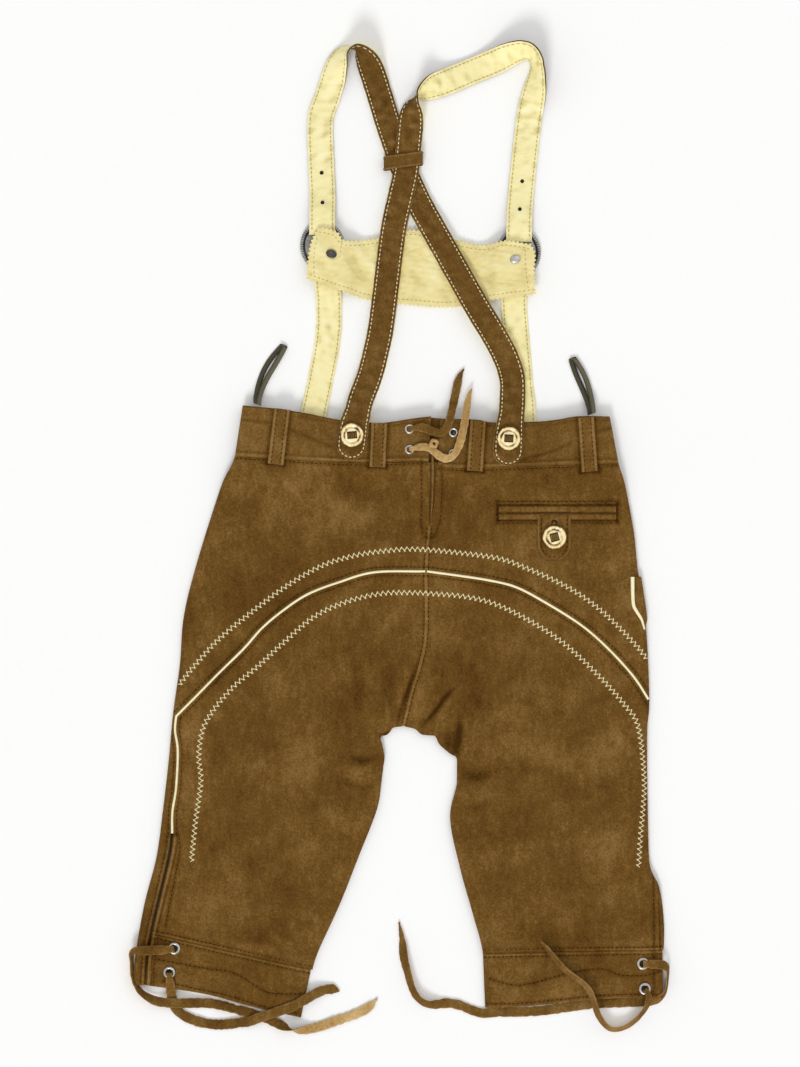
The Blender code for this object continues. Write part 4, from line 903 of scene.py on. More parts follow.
def cuff(name, node, seam, hem, wraps):
    """A band round a leg, from one edge of the slit to the other."""
    side = math.copysign(1, seam[:, 0].mean())
    outer, inner = [], []
    for share in np.linspace(0, 1, 36):
        row = seam * (1 - share) + hem * share + (0, 0.25 * (1 - share))
        slit, knee = abs(row[:, 0]).max(), abs(row[:, 0]).min()
        fold_in = knee + ROUND
        out_row, in_row = [], []

        def lay(start, end, count, upper):
            x = side * np.linspace(start, end, count)
            flat = np.column_stack([x, y_at(row, x)])
            if upper:
                drop = 0.5 * np.exp(-((1 - share) * 50 / 1.2) ** 2)
                z = surface(flat) - drop
                out_row.append(np.column_stack([flat, z]))
                in_row.append(np.column_stack([flat, z - SUEDE]))
            else:
                z = lift(flat[:, 0], flat[:, 1])
                out_row.append(np.column_stack([flat, z]))
                in_row.append(np.column_stack([flat, z + SUEDE]))

        def turn(centre, angles, way):
            base = float(lift(side * centre, y_at(row, side * centre))) + ROUND
            for radius, rows in ((ROUND, out_row), (FOLD_INSIDE, in_row)):
                x = side * (centre + way * radius * np.cos(angles))
                rows.append(np.column_stack([x, y_at(row, x), base + radius * np.sin(angles)]))

        lay(slit - 0.4, fold_in, 90, True)
        turn(fold_in, np.radians(np.linspace(90, -90, 11))[1:], -1)
        if wraps:
            fold_out = abs(float(x_at(CURVES["outer_left"], row[0, 1]))) - ROUND
            lay(fold_in, fold_out, 40, False)
            turn(fold_out, np.radians(np.linspace(-90, 90, 11))[1:-1], 1)
            lay(fold_out, slit + 0.4, 14, True)
        else:
            lay(fold_in, slit - 0.6, 44, False)
        outer.append(np.vstack(out_row))
        inner.append(np.vstack(in_row))
    outer = np.array(outer)
    points, faces = shell_mesh(outer, inner)
    tone = relief(points[:, :2])[1]
    hem_near, _ = nearest(points[:, :2], spaced(hem, 200))
    tone = tone + 0.12 * np.exp(-(hem_near / 0.8) ** 2)
    made = piece(name, points, outward(points, faces), "suede", "cuff_suede", [node],
                 np.clip(tone, 0, 1))
    girth = np.linalg.norm(np.diff(outer[len(outer) // 2], axis=0), axis=1).sum()


# ---------------------------------------------------------------- waistband and what lies on it
def waistband():
    """The two halves of the waistband's back, which meet at the lacing."""
    seam, top = CURVES["waist_seam"], CURVES["waist_top"]
    for name, start, end, across in (("waistband_left", (-148, -141), (25.5, 28), 104),
                                     ("waistband_right", (34, 36), (196, 188), 96)):
        low = between(seam, start[0], end[0]) - (0, 0.7)
        high = between(top, start[1], end[1])
        grid = coons(low, high, np.array([low[0], high[0]]), np.array([low[-1], high[-1]]),
                     across, 32)
        node = "waistband_back" + name[9:]
        panel(name, inset(grid), SUEDE, "band", "waistband_suede", [node],
              0.3)


def ribbon(name, curve, width, under, thick, material, slot, nodes, edge=1.0, crown=0.0,
           across=9, step=1.5, tone_of=None):
    """A strip along a curve, whose upper face has soft edges; under(points) is its lower face."""
    count = max(4, int(way_along(curve[:, :2])[-1] / step))
    centre = spaced(curve, count)[:, :2]
    side = normals_of(centre)
    a = np.linspace(-1, 1, across)
    wide = width if np.ndim(width) == 0 else np.interp(np.linspace(0, 1, count), *width)
    flat = centre[:, None] + side[:, None] * (a[None] * np.reshape(wide, (-1, 1)) / 2)[..., None]
    low = under(flat.reshape(-1, 2)).reshape(count, across)
    profile = thick * (1 - edge * np.abs(a) ** 6 * 0.7) + crown * (1 - a**2)
    high = low + profile[None]
    tone = tone_of and np.tile(tone_of(a), count)
    return wall(name, np.dstack([flat, high]), np.dstack([flat, low]), material, slot, nodes,
                tone)


LOOP_ROW = 3.9          # distance of a loop's stitching from its middle
LOOP_TOP = 1.85         # height of that stitching on the loop


def on_back(clearance):
    """A height function for what lies on the back."""
    return lambda points: back_top(points) + clearance


def folded_edges(a):
    """Tone across a strip whose edges are folded under: painted highlight at the folds, painted
    shade beside them.
    """
    return 0.48 + 0.26 * np.exp(-((np.abs(a) - 0.8) / 0.16) ** 2) - 0.3 * (np.abs(a) > 0.97)


def belt_loops():
    """Flat loops with their edges folded under."""
    for name, top, bottom in BELT_LOOPS:
        curve = np.array([top, bottom], float)
        ribbon(name + "_suede", curve, LOOP_WIDTH, on_back(GAP), 1.5, "band",
               "waistband_suede", [name], crown=0.5, across=15, tone_of=folded_edges)


def piping():
    """Half-round cream leather in the seams of the seat and of the left side."""
    def seat(points):
        return back_top(points) - 0.5

    left = join(CURVES["arch_left"], CURVES["side_piping"])
    ribbon("piping_left_cream", spaced(left, 400, 0.002, 0.995), 2.2, seat, 0.9, "piping",
           "piping_leather", ["piping_left"], crown=0.7, across=7)
    ribbon("piping_right_cream", spaced(CURVES["arch_right"], 300, 0.003, 0.99), 2.2, seat,
           0.9, "piping", "piping_leather", ["piping_right"], crown=0.7, across=7)


# ---------------------------------------------------------------- stitches
def stitches(name, starts, ends, normals, width, height, material, slot):
    """One joined mesh of short threads on a surface, each from a start to an end.

    normals is None where the surface lies flat."""
    starts, ends = np.vstack(starts), np.vstack(ends)
    normals = np.tile((0.0, 0.0, 1.0), (len(starts), 1)) if normals is None else normals
    run = ends - starts
    run_unit = run / np.linalg.norm(run, axis=1, keepdims=True)
    side = np.cross(normals, run_unit)
    side /= np.linalg.norm(side, axis=1, keepdims=True)
    around = np.radians([0, 60, 120, 180, 270])
    rings = [(0.0, 0.35, -0.6), (0.25, 1.0, 0.0), (0.75, 1.0, 0.0), (1.0, 0.35, -0.6)]
    points = np.empty((len(starts), len(rings), len(around), 3))
    for i, (share, size, sink) in enumerate(rings):
        middle = starts + run * share + normals * height * sink
        for j, angle in enumerate(around):
            points[:, i, j] = (middle + side * np.reshape(width, (-1, 1)) / 2
                               * size * math.cos(angle)
                               + normals * (height * size * math.sin(angle)))
    points[..., 2] = np.maximum(points[..., 2], LOWEST)
    one = grid_faces(len(rings), len(around), ring=True).tolist()
    caps = [list(range(len(around)))[::-1], [15 + k for k in range(len(around))]]
    each = len(rings) * len(around)
    faces = [[each * k + v for v in face] for k in range(len(starts)) for face in one + caps]
    return piece(name, points.reshape(-1, 3), faces, material, slot, angle=60)


def row_on(curve, height_of, pitch=STITCH, length=THREAD, rise=0.05):
    """Starts and ends of the stitches of one row on a surface seen from above."""
    total = way_along(curve[:, :2])[-1]
    count = max(1, int(total / pitch))
    places = (np.arange(count) + 0.5) * total / count
    places = places + rng.uniform(-0.15, 0.15, count)
    way = way_along(curve[:, :2])
    found = []
    for shift in (-length / 2, length / 2):
        spot = np.clip(places + shift, 0, total)
        flat = np.column_stack([np.interp(spot, way, curve[:, k]) for k in (0, 1)])
        found.append(np.column_stack([flat, height_of(flat) + rise]))
    return found


STITCH_EDGE = 0.6       # least distance of a stitch from the outline


def topstitching():
    """All dark stitches of the back, in two meshes: the trousers' and the belt loops'."""
    starts, ends = [], []
    for curve in ROWS + BOX_ROWS:
        start, end = row_on(curve, surface)
        inside = np.ones(len(start), bool)
        for spot in (start, end):
            inside &= spot[:, 0] > x_at(CURVES["outer_left"], spot[:, 1]) + STITCH_EDGE
            inside &= spot[:, 0] < x_at(CURVES["outer_right"], spot[:, 1]) - STITCH_EDGE
        starts.append(start[inside])
        ends.append(end[inside])
    stitches("topstitching", starts, ends, None, 0.75, 0.32, "dark", "suede")
    starts, ends = [], []
    for _, top, bottom in BELT_LOOPS:
        for way in (-1, 1):
            curve = beside(np.array([top, bottom], float), way * LOOP_ROW)
            start, end = row_on(curve, on_back(GAP + LOOP_TOP), rise=0.0)
            starts.append(start)
            ends.append(end)
    stitches("belt_loop_stitches", starts, ends, None, 0.7, 0.3, "dark", "waistband_suede")


UPPER_FEATHER = [(-198.9, -136.3), (-183.6, -117.5), (-162.9, -95.0), (-135.9, -72.5),
                 (-103.5, -48.1), (-71.1, -29.2), (-39.6, -19.4), (-7.2, -14.8), (15.3, -14.0),
                 (48.6, -16.7), (88.2, -22.1), (112.5, -30.6), (136.8, -41.0), (161.1, -54.5),
                 (184.5, -72.5), (208.8, -96.8), (222.3, -113.0)]
LOWER_FEATHER = [(-187.2, -295.2), (-183.6, -258.8), (-178.6, -221.8), (-180.5, -198.5),
                 (-174.6, -169.7), (-152.1, -140.0), (-127.8, -119.2), (-103.5, -96.8),
                 (-76.5, -74.2), (-47.2, -60.8), (-15.3, -53.6), (15.3, -53.1), (24.3, -53.6),
                 (56.2, -56.2), (83.7, -62.6), (112.5, -76.0), (144.9, -96.8),
                 (176.4, -125.5), (200.7, -152.6), (213.8, -173.2), (219.3, -218.2),
                 (218.3, -247.1), (216.0, -270.4), (214.2, -300.2)]
FEATHER_PITCH = 4.75
# One motif: both ends (share of the pitch, side) of each thread, and its width
FEATHER = [((0.0, 1.15), (0.32, -0.8), 0.75), ((0.26, -0.5), (0.58, -2.4), 1.2),
           ((0.42, -1.3), (0.74, 0.7), 0.8), ((0.66, 0.2), (1.0, 2.4), 1.15)]
FEATHER_TURN = 22.0     # x of the centre seam, where the motif is mirrored


def feather_stitches():
    """Two cream rows of a slanting four-thread motif, above and below the piping."""
    starts, ends, widths = [], [], []
    for table in (UPPER_FEATHER, LOWER_FEATHER):
        curve = smooth(table, 1.0)
        way = way_along(curve)
        side = normals_of(curve)
        turn = np.interp(FEATHER_TURN, curve[:, 0], way) if table is UPPER_FEATHER else way[
            np.argmin(np.abs(curve[:, 0] - FEATHER_TURN) + np.abs(curve[:, 1] + 53.6))]
        count = int(way[-1] / FEATHER_PITCH)
        for k in range(count):
            place = (k + 0.5) * way[-1] / count
            mirror = -1 if place > turn else 1
            for one, two, width in FEATHER:
                spots = []
                for share, across in (one, two):
                    spot = place + mirror * (share - 0.4) * FEATHER_PITCH
                    spots.append([np.interp(spot, way, curve[:, i])
                                  + np.interp(spot, way, side[:, i]) * across
                                  for i in (0, 1)])
                starts.append(spots[0])
                ends.append(spots[1])
                widths.append(width)
    starts, ends = np.array(starts), np.array(ends)
    starts = np.column_stack([starts, surface(starts) + 0.15])
    ends = np.column_stack([ends, surface(ends) + 0.15])
    stitches("feather_stitches", starts, ends, None, np.array(widths), 0.5, "pale", "suede")


# ---------------------------------------------------------------- pockets
POCKET_X = (88.6, 193.8)
WELTS = [("pocket_welt_upper", 18.7, 25.0), ("pocket_welt_lower", 12.3, 18.1)]
TAB_X, TAB_TOP, TAB_ROUND_Y, TAB_HALF = 138.2, 16.0, -9.5, 14.6
TAB_LIFT, TAB_THICK = 0.5, 1.9
TAB_SEAM = 3.0          # distance of the tab's stitches from its edge
TAB_HOLE_Y = 9.5        # the upper end of its buttonhole
TAB_HOLE = (1.3, 3.2)   # from here to here, its worked threads run outwards
POCKET_BUTTON = (138.2, -3.3)
ON_BACK = 0.7
WELT_THICK = 1.4
KNIFE_EDGE = [(208.8, -39), (209.4, -62), (212.4, -69.5), (217.0, -77), (219.6, -86)]


def pockets():
    """The welt pocket: two welts, the buttoned tab and its dark stitches."""
    for name, low, high in WELTS:
        middle = (low + high) / 2
        curve = np.array([(POCKET_X[0], middle), (POCKET_X[1], middle)])
        # Painted shade towards each welt's rounded edges
        ribbon(name + "_suede", curve, high - low, on_back(ON_BACK - 0.6), 0.9, "suede",
               "suede", [name], edge=1.2, crown=0.7, across=11,
               tone_of=lambda a: 0.56 - 0.25 * np.abs(a) ** 4)
    rows = [(y, TAB_HALF) for y in np.linspace(TAB_TOP, TAB_ROUND_Y, 26)]
    rows += [(TAB_ROUND_Y - TAB_HALF * math.sin(angle), TAB_HALF * math.cos(angle))
             for angle in np.radians(np.linspace(0, 88, 26))[1:]]
    a = np.sin(np.linspace(-np.pi / 2, np.pi / 2, 27))
    flat = np.array([[(TAB_X + half * way, y) for way in a] for y, half in rows])
    low = back_top(flat.reshape(-1, 2)).reshape(flat.shape[:2]) + ON_BACK + GAP + TAB_LIFT
    from_edge = np.array([[min(half * (1 - abs(way)), 9) for way in a] for y, half in rows])
    high = low + TAB_THICK - 0.9 * np.exp(-(from_edge / 0.7) ** 2) - 0.25 * np.exp(
        -((from_edge - TAB_SEAM) / 0.8) ** 2)
    # Lighter along the tab's edge, with painted shade in the groove of its stitching
    tone = (0.47 + 0.2 * np.exp(-(from_edge / 0.9) ** 2)
            - 0.18 * np.exp(-((from_edge - TAB_SEAM) / 1.1) ** 2))
    wall("pocket_tab_suede", np.dstack([flat, high]), np.dstack([flat, low]), "suede", "suede",
         ["pocket_tab"], tone)
    side, top = TAB_HALF - TAB_SEAM, TAB_TOP - 2
    line = [(TAB_X - side, top), (TAB_X - side, TAB_ROUND_Y)]
    line += [(TAB_X - side * math.cos(angle), TAB_ROUND_Y - side * math.sin(angle))
             for angle in np.radians(np.linspace(0, 180, 24))]
    line.append((TAB_X + side, top))
    tab_height = ON_BACK + GAP + TAB_LIFT + TAB_THICK
    starts, ends = row_on(np.array(line), on_back(tab_height - 0.15))
    # The buttonhole's worked threads, round its upper end and down its sides
    found = []
    for radius in TAB_HOLE:
        spots = [(TAB_X + radius * math.cos(angle), TAB_HOLE_Y + radius * math.sin(angle))
                 for angle in np.radians(np.arange(0, 181, 20))]
        spots += [(TAB_X + way * radius, TAB_HOLE_Y - drop)
                  for drop in (1.5, 3.0, 4.5) for way in (-1, 1)]
        found.append(np.column_stack([spots, back_top(spots) + tab_height]))
    stitches("pocket_tab_stitches", [starts, found[0]], [ends, found[1]], None, 0.7, 0.3,
             "dark", "suede")


def knife_pocket():
    """The brown mouth of the knife pocket, turned round the outline, and its cream binding."""
    edge = smooth(KNIFE_EDGE)
    outer, inner = [], []
    for y in np.linspace(-39, -83, 40):
        outline = float(x_at(CURVES["outer_right"], y))
        start = min(float(x_at(edge, y)) + 2.0, outline - 1.2)
        x = np.linspace(start, outline, 8)
        z = back_top(np.column_stack([x, np.full(8, y)])) + GAP
        crown = 0.5 * np.sin(np.pi * np.linspace(0, 1, 8))
        pinked = 0.25 * math.sin(y * 2.4)
        proud = 0.3 + 1.8 * float(smoothstep(y, -83, -76))
        row_in = np.column_stack([x, np.full(8, y), z])
        row_out = row_in + np.column_stack([np.zeros(8), np.zeros(8), SUEDE - 0.2 + crown])
        edge_z = float(back_top([(outline, y)])[0])
        for height in (edge_z - 0.4, edge_z / 2, GAP):
            row_in = np.vstack([row_in, (outline + 0.1, y, height)])
            row_out = np.vstack([row_out, (outline + proud + pinked, y,
                                           height + (0.8 if height > 3 else 0))])
        outer.append(row_out)
        inner.append(row_in)
    wall("knife_pocket_suede", outer, inner, "suede", "suede", ["knife_pocket"])
    ribbon("knife_pocket_cream", edge, ((0, 0.75, 1), (3.7, 3.0, 1.6)), on_back(GAP - 0.1), 1.3,
           "piping", "piping_leather", ["knife_pocket_binding"], crown=0.5, across=9, step=1.0)


# ---------------------------------------------------------------- straps
STRAP_TOTAL = 2 * THIN + GAP
# Routes of the two straps, from the button at the back to the buckle: x, y, lift, roll
STRAP_A = [(-44.8, 66, 10.1, 0), (-43.4, 80, 10.1, 0), (-41, 97, 10.1, 0), (-38, 108, 9.6, 0),
           (-35.1, 120, 7.0, 0), (-27, 142, 3.6, 0), (-21.6, 163, 3.2, 0), (-17.1, 185, 3.2, 0),
           (-12, 225, 3.2, 0), (-6.1, 271, 4.2, 0), (0, 300, 4.5, 0), (5.2, 323, 4.5, 0),
           (7.4, 345, 4.5, 0), (9, 362, 4.4, 0), (10.4, 374, 3.0, 18), (12.4, 385, 0.4, 58),
           (17, 394, 0, 100), (27, 400, 0, 142), (42, 406, 0, 168), (63, 415, 0, 178),
           (84, 423.5, 0, 170), (99, 430, 0, 146), (110, 433, 0, 125), (118, 430.5, 0, 114),
           (122.4, 423, 0, 112), (123, 411, 0, 126), (120.8, 397, 0, 152),
           (117.6, 382, 0, 174), (115.2, 366, 0, 180), (110.7, 325, 0, 180),
           (108.3, 300, 1.0, 180), (107.2, 284, 3.4, 180), (106.8, 262, 3.4, 180)]
STRAP_B = [(96.8, 60.5, 10.1, 0), (97.2, 80, 10.1, 0), (98.6, 97, 10.1, 0), (100, 108, 9.6, 0),
           (100.8, 120, 7.2, 0), (100.5, 140, 4.6, 0), (94, 160, 4.4, 0), (82, 182, 5.2, 0),
           (68, 205, 6.0, 0), (53, 232, 4.6, 0), (38, 259, 3.8, 0), (28, 277, 2.8, 0),
           (19.8, 292, 1.3, 0), (10, 312, 1.3, 0), (2.7, 329, 1.3, 0), (-4, 349, 1.3, 0),
           (-11, 370, 0.4, 0), (-18, 393, 0, 0), (-25, 415, 0, 10), (-31, 428, 0, 45),
           (-40, 435.5, 0, 88), (-50, 432, 0, 120), (-56.5, 420, 0, 150), (-61, 405, 0, 172),
           (-66, 390, 0, 180), (-71.5, 372, 0, 180), (-70.9, 336, 0, 180),
           (-69.6, 306, 1.0, 180), (-69.8, 288, 3.4, 180), (-69.8, 268, 3.4, 180)]
STRAP_FRONT_LEFT = [(-67, 244, 3.4, 180), (-65.5, 228, 3.2, 180), (-64, 212, 1.2, 180),
                    (-63.9, 200, 0, 180), (-64, 185, 0, 180), (-66.6, 163, 0, 180),
                    (-70.7, 142, 0, 180), (-74.7, 122, 0.6, 180), (-77.4, 109, 1.9, 180),
                    (-79, 92, 1.9, 180), (-80, 74, 1.9, 180)]
STRAP_FRONT_RIGHT = [(101, 238, 3.4, 180), (101.6, 226, 3.2, 180), (102.4, 210, 1.2, 180),
                     (103, 198, 0, 180), (104.9, 174, 0, 180), (106.7, 153, 0, 180),
                     (108.5, 131, 0.2, 180), (110, 116, 1.2, 180), (110.3, 109, 1.9, 180),
                     (111.2, 92, 1.9, 180), (112, 74, 1.9, 180)]
TAB_FLARE = ([0, 26, 46, 2000], [TAB_WIDTH, TAB_WIDTH, STRAP_WIDTH, STRAP_WIDTH])


class Band:
    """A flat band along a route with columns x, y, lift, roll, and its frames.

    lift is the height of its lowest edge, and roll turns it about its own length, in degrees:
    0 shows its outer face upwards, 90 stands it on edge and 180 shows the other face."""

    def __init__(self, route, step, width, total, tip=0.0):
        dense = smooth(route)
        count = int(way_along(dense[:, :2])[-1] / step)
        dense = spaced(dense, count)
        self.way = way_along(dense[:, :2])
        low = np.maximum(dense[:, 2], 0)
        roll = np.radians(dense[:, 3])
        wide = np.interp(self.way, *width) if isinstance(width, tuple) else np.full(count, width)
        self.full = wide.copy()
        if tip:
            cap = np.clip(1 - self.way / tip, 0, 0.985)
            wide = wide * np.sqrt(1 - cap**2)
        self.wide, self.total = wide, total
        height = (low + abs(np.sin(roll)) * self.full / 2 + abs(np.cos(roll)) * total / 2)
        self.centre = np.column_stack([dense[:, :2], height])
        heading = np.gradient(self.centre, axis=0)
        heading /= np.linalg.norm(heading, axis=1, keepdims=True)
        side = np.column_stack([heading[:, 1], -heading[:, 0], np.zeros(count)])
        side /= np.linalg.norm(side, axis=1, keepdims=True)
        normal = np.cross(side, heading)
        cos, sin = np.cos(roll)[:, None], np.sin(roll)[:, None]
        self.across = side * cos + normal * sin
        self.out = normal * cos - side * sin

    def waver(self, pitch, seed):
        """Noise along the band."""
        return waves(np.column_stack([self.way, 0 * self.way]), pitch, seed)

    def puckers(self, way, a, amount, seed):
        """Small wrinkles across the band, the same for all of its layers."""
        flat = np.column_stack([np.ravel(way), np.ravel(a) * 10])
        return amount * np.reshape(waves(flat, 9, seed) * (0.4 + 0.6 * abs(waves(flat, 60, 2))),
                                   np.shape(way))

    def at(self, way, distance, out):
        """Points and outward normals of the band at ways along it and distances across it."""
        found = []
        for table in (self.centre, self.across, self.out):
            found.append(np.column_stack([np.interp(way, self.way, table[:, k])
                                          for k in (0, 1, 2)]))
        centre, across, normal = found
        normal = normal / np.linalg.norm(normal, axis=1, keepdims=True)
        half = np.interp(way, self.way, self.full) / 2
        pucker = self.puckers(way, distance / half, self.wrinkle, self.seed)
        return (centre + across * np.reshape(distance, (-1, 1))
                + normal * (np.reshape(out, (-1, 1)) + pucker[:, None]), normal)


def layer(name, band, offset, thick, material, slot, nodes, wrinkle=0.25, seed=1, grooves=True):
    """One layer of leather of a band: soft edges, and a groove where its stitches run."""
    band.wrinkle, band.seed = wrinkle, seed
    a = np.sin(np.linspace(-np.pi / 2, np.pi / 2, 17))
    count = len(band.way)
    way = np.repeat(band.way[:, None], len(a), 1)
    pucker = band.puckers(way, np.repeat(a[None], count, 0), wrinkle, seed)
    half = thick / 2 * np.sqrt(np.clip(1 - np.abs(a) ** 8, 0.02, 1))
    dip = 0.16 * np.exp(-((np.abs(a) - 0.83) / 0.09) ** 2) if grooves else 0 * a
    ragged = 0.12 * band.waver(5, seed + 20)
    flat = band.centre[:, None] + band.across[:, None] * (
        a[None] * (band.wide / 2 + ragged * (band.wide > 12))[:, None])[..., None]
    grids = []
    for way_out in (1, -1):
        height = offset + way_out * (half - dip)[None] + pucker
        grid = flat + band.out[:, None] * height[..., None]
        grid[..., 2] = np.maximum(grid[..., 2], LOWEST)
        grids.append(grid)
    # Painted shade in the groove of the stitching and painted light on the crests of the puckers;
    # lighter along the cut edge
    edge = 0.5 - 0.10 * np.exp(-((np.abs(a) - 0.83) / 0.12) ** 2) + 0.10 * (np.abs(a) > 0.95)
    tone = np.repeat(edge[None], count, 0) + 0.10 * pucker / max(wrinkle, 0.01)
    made = wall(name, *grids, material, slot, nodes, np.clip(tone, 0, 1))
    cut = (band.full.max() * MM, way_along(band.centre)[-1] * MM)
    min(cut[0] * cut[1], np.trapz(band.wide, band.way) * MM**2)
    return made


SEAM_ALLOWANCE = 2.3    # distance of the straps' stitches from their edges


def strap_row(band, face, start, end, tip):
    """Starts, ends and normals of the stitches along both edges of a band, and round its tip."""
    radius = TAB_WIDTH / 2
    inner = radius - SEAM_ALLOWANCE
    line = [(way, -np.interp(way, band.way, band.full) / 2 + SEAM_ALLOWANCE)
            for way in np.arange(end, max(start, radius if tip else start), -2.0)]
    if tip:
        line += [(radius - inner * math.cos(angle), inner * math.sin(angle))
                 for angle in np.radians(np.linspace(-88, 88, 30))]
        parts = [np.array(line + [(way, -d) for way, d in line[:len(line) - 30]][::-1])]
    else:
        line = np.array(line)
        parts = [line, line * (1, -1)]
    found = [[], [], []]
    for part in parts:
        run = way_along(part)
        count = int(run[-1] / STITCH)
        places = (np.arange(count) + 0.5) * run[-1] / count
        ends = []
        for shift in (-THREAD / 2, THREAD / 2):
            spot = np.column_stack([np.interp(places + shift, run, part[:, k]) for k in (0, 1)])
            point, normal = band.at(spot[:, 0], spot[:, 1], np.full(count, face))
            ends.append(point)
        sign = 1 if face > 0 else -1
        found[0].append(ends[0])
        found[1].append(ends[1])
        found[2].append(normal * sign)
    return [np.vstack(column) for column in found]


def straps():
    """The two crossing straps, each of suede and cream leather, and the two front straps."""
    offset = (THIN + GAP) / 2
    face = STRAP_TOTAL / 2
    for letter, route, seed in (("a", STRAP_A, 31), ("b", STRAP_B, 47)):
        name = "strap_" + letter
        band = Band(route, 1.6, TAB_FLARE, STRAP_TOTAL, tip=TAB_WIDTH / 2)
        layer(name + "_suede", band, offset, THIN, "strap", "strap_suede", [name + "_outer"],
              0.18, seed)
        layer(name + "_cream", band, -offset, THIN, "cream", "cream_leather",
              [name + "_lining"], 0.18, seed)
        end = band.way[-1] - 4
        outside = strap_row(band, face - 0.05, 0, end, True)
        stitches(name + "_stitches", *outside, 0.85, 0.38, "pale", "strap_suede")
        inside = strap_row(band, -face + 0.05, 40, end, False)
        stitches(name + "_back_stitches", *inside, 0.7, 0.28, "grey", "cream_leather")
        holes(name + "_holes", band, -face, HOLES[letter])
    for side, route, seed in (("left", STRAP_FRONT_LEFT, 5), ("right", STRAP_FRONT_RIGHT, 8)):
        name = "strap_front_" + side
        band = Band(route, 1.6, STRAP_WIDTH, 2.4)
        layer(name + "_cream", band, 0, 2.4, "cream", "cream_leather", [name], 0.15, seed)
        inside = strap_row(band, -1.2 + 0.05, 3, band.way[-1] - 3, False)
        stitches(name + "_stitches", *inside, 0.7, 0.28, "grey", "cream_leather")


HOLES = {"a": [(109.8, 317.2), (107.6, 291.6)], "b": [(-71.1, 323.6), (-69.3, 296.1)]}


def holes(name, band, face, places):
    """Punched holes: a dark disc of painted shade with a rim, on the lining."""
    points, faces = [], []
    for x, y in places:
        late = band.way > band.way[-1] * 0.6
        way = band.way[late][np.argmin(np.hypot(*(band.centre[late, :2] - (x, y)).T))]
        middle, normal = band.at(np.array([way]), np.array([0.0]), np.array([face]))
        first = len(points)
        for radius, height in ((1.8, 0.0), (1.6, 0.5), (1.15, 0.45), (0.6, 0.4)):
            for angle in np.linspace(0, 2 * np.pi, 17)[:-1]:
                points.append(middle[0] + (radius * math.cos(angle), radius * math.sin(angle),
                                           height))
        faces += (grid_faces(4, 16, first, ring=True)).tolist()
        faces.append([first + 48 + k for k in range(16)])
        faces.append([first + k for k in range(16)][::-1])
    piece(name, points, faces, "hole", "cream_leather")


KEEPER = {"x": (-14.6, 20.4), "z": (0.0, 8.8), "y": (328.5, 340.5), "thick": 1.0}
KEEPER_SLANT = 0.14


def keeper():
    """The suede loop round the crossing, with rolled edges."""
    left, right = KEEPER["x"]
    low, high = KEEPER["z"]
    path = []
    for x, z, start in ((right, high, 0), (left, high, 90), (left, low, 180), (right, low, 270)):
        for angle in np.radians(np.linspace(start, start + 90, 7)):
            path.append((x - 2.0 * np.sign(x - 3) + 2.0 * math.cos(angle),
                         z - 2.0 * np.sign(z - 4) + 2.0 * math.sin(angle)))
    path = np.array(path + [path[0]])
    way = way_along(path)
    path = np.column_stack([np.interp(np.linspace(0, way[-1], 97)[:-1], way, path[:, k])
                            for k in (0, 1)])
    middle = np.array([(left + right) / 2, (low + high) / 2])
    y = np.linspace(*KEEPER["y"], 19)
    a = np.linspace(-1, 1, 19)
    rolled = 0.55 * np.exp(-((np.abs(a) - 0.86) / 0.12) ** 2) - 0.3 * (np.abs(a) > 0.98)
    outer, inner = [], []
    for k in range(19):
        for grid, shrink in ((outer, -rolled[k]), (inner, KEEPER["thick"])):
            inward = middle - path
            inward /= np.linalg.norm(inward, axis=1, keepdims=True)
            ring = path + inward * shrink
            slant = KEEPER_SLANT * (path[:, 0] - middle[0])
            grid.append(np.column_stack([ring[:, 0], y[k] + slant,
                                         np.maximum(ring[:, 1], 0)]))
    # Painted highlight along the rolled edges
    tone = np.repeat(0.48 + 0.3 * np.exp(-((np.abs(a) - 0.9) / 0.1) ** 2), 96)
    wall("strap_keeper_suede", outer, inner, "strap", "strap_suede", ["strap_keeper"], tone,
         ring=True)


# ---------------------------------------------------------------- bib
BIB_TOP = [(-72.9, 274.4), (-56.7, 270.5), (-48.6, 262.4), (-18.5, 265.5), (10.8, 272.7),
           (49.5, 263.7), (74.7, 258.8), (95.4, 262.4), (117.5, 258.8)]
BIB_BOTTOM = [(-83.2, 228.6), (-74.7, 225.5), (-51.3, 217.4), (-27, 210.2), (1.8, 206.6),
              (46.8, 203.9), (86.4, 210.2), (121.5, 214.7)]
BIB_LEFT = [(-83.2, 228.6), (-82.8, 240.8), (-80, 259.7), (-72.9, 274.4)]
BIB_RIGHT = [(121.5, 214.7), (120.2, 232), (121, 249.8), (117.5, 258.8)]
BIB_LIFT = 6.4
BIB_RAMP_LEFT = (30.0, 52.0)
BIB_RAMP_RIGHT = (74.0, 88.0)
PINK = {"pitch": 3.8, "depth": 2.1}
BIB_CREASES = [([(-52, 262), (-44, 244), (-30, 226)], -0.8, 3.5),
               ([(-40, 262), (-32, 246), (-16, 232)], 0.7, 4.0),
               ([(-28, 264), (-24, 240), (-14, 214)], 0.6, 4.5),
               ([(-76, 262), (-66, 246), (-48, 232)], 0.5, 4.0),
               ([(22, 262), (32, 240), (30, 212)], 0.6, 6.0),
               ([(56, 256), (62, 238), (80, 224)], -0.6, 4.0),
               ([(66, 250), (90, 240), (112, 236)], 0.5, 3.5),
               ([(70, 232), (92, 226), (114, 228)], -0.5, 4.0)]
BIB_CREASES = [(smooth(points, 1.5), height, width) for points, height, width in BIB_CREASES]


def bib_low(points):
    """Height of the bib's lower face: on the floor, and up over the straps at both ends."""
    x = points[:, 0]
    return BIB_LIFT * np.where(x < 0, smoothstep(-x, *BIB_RAMP_LEFT),
                               smoothstep(x, *BIB_RAMP_RIGHT))


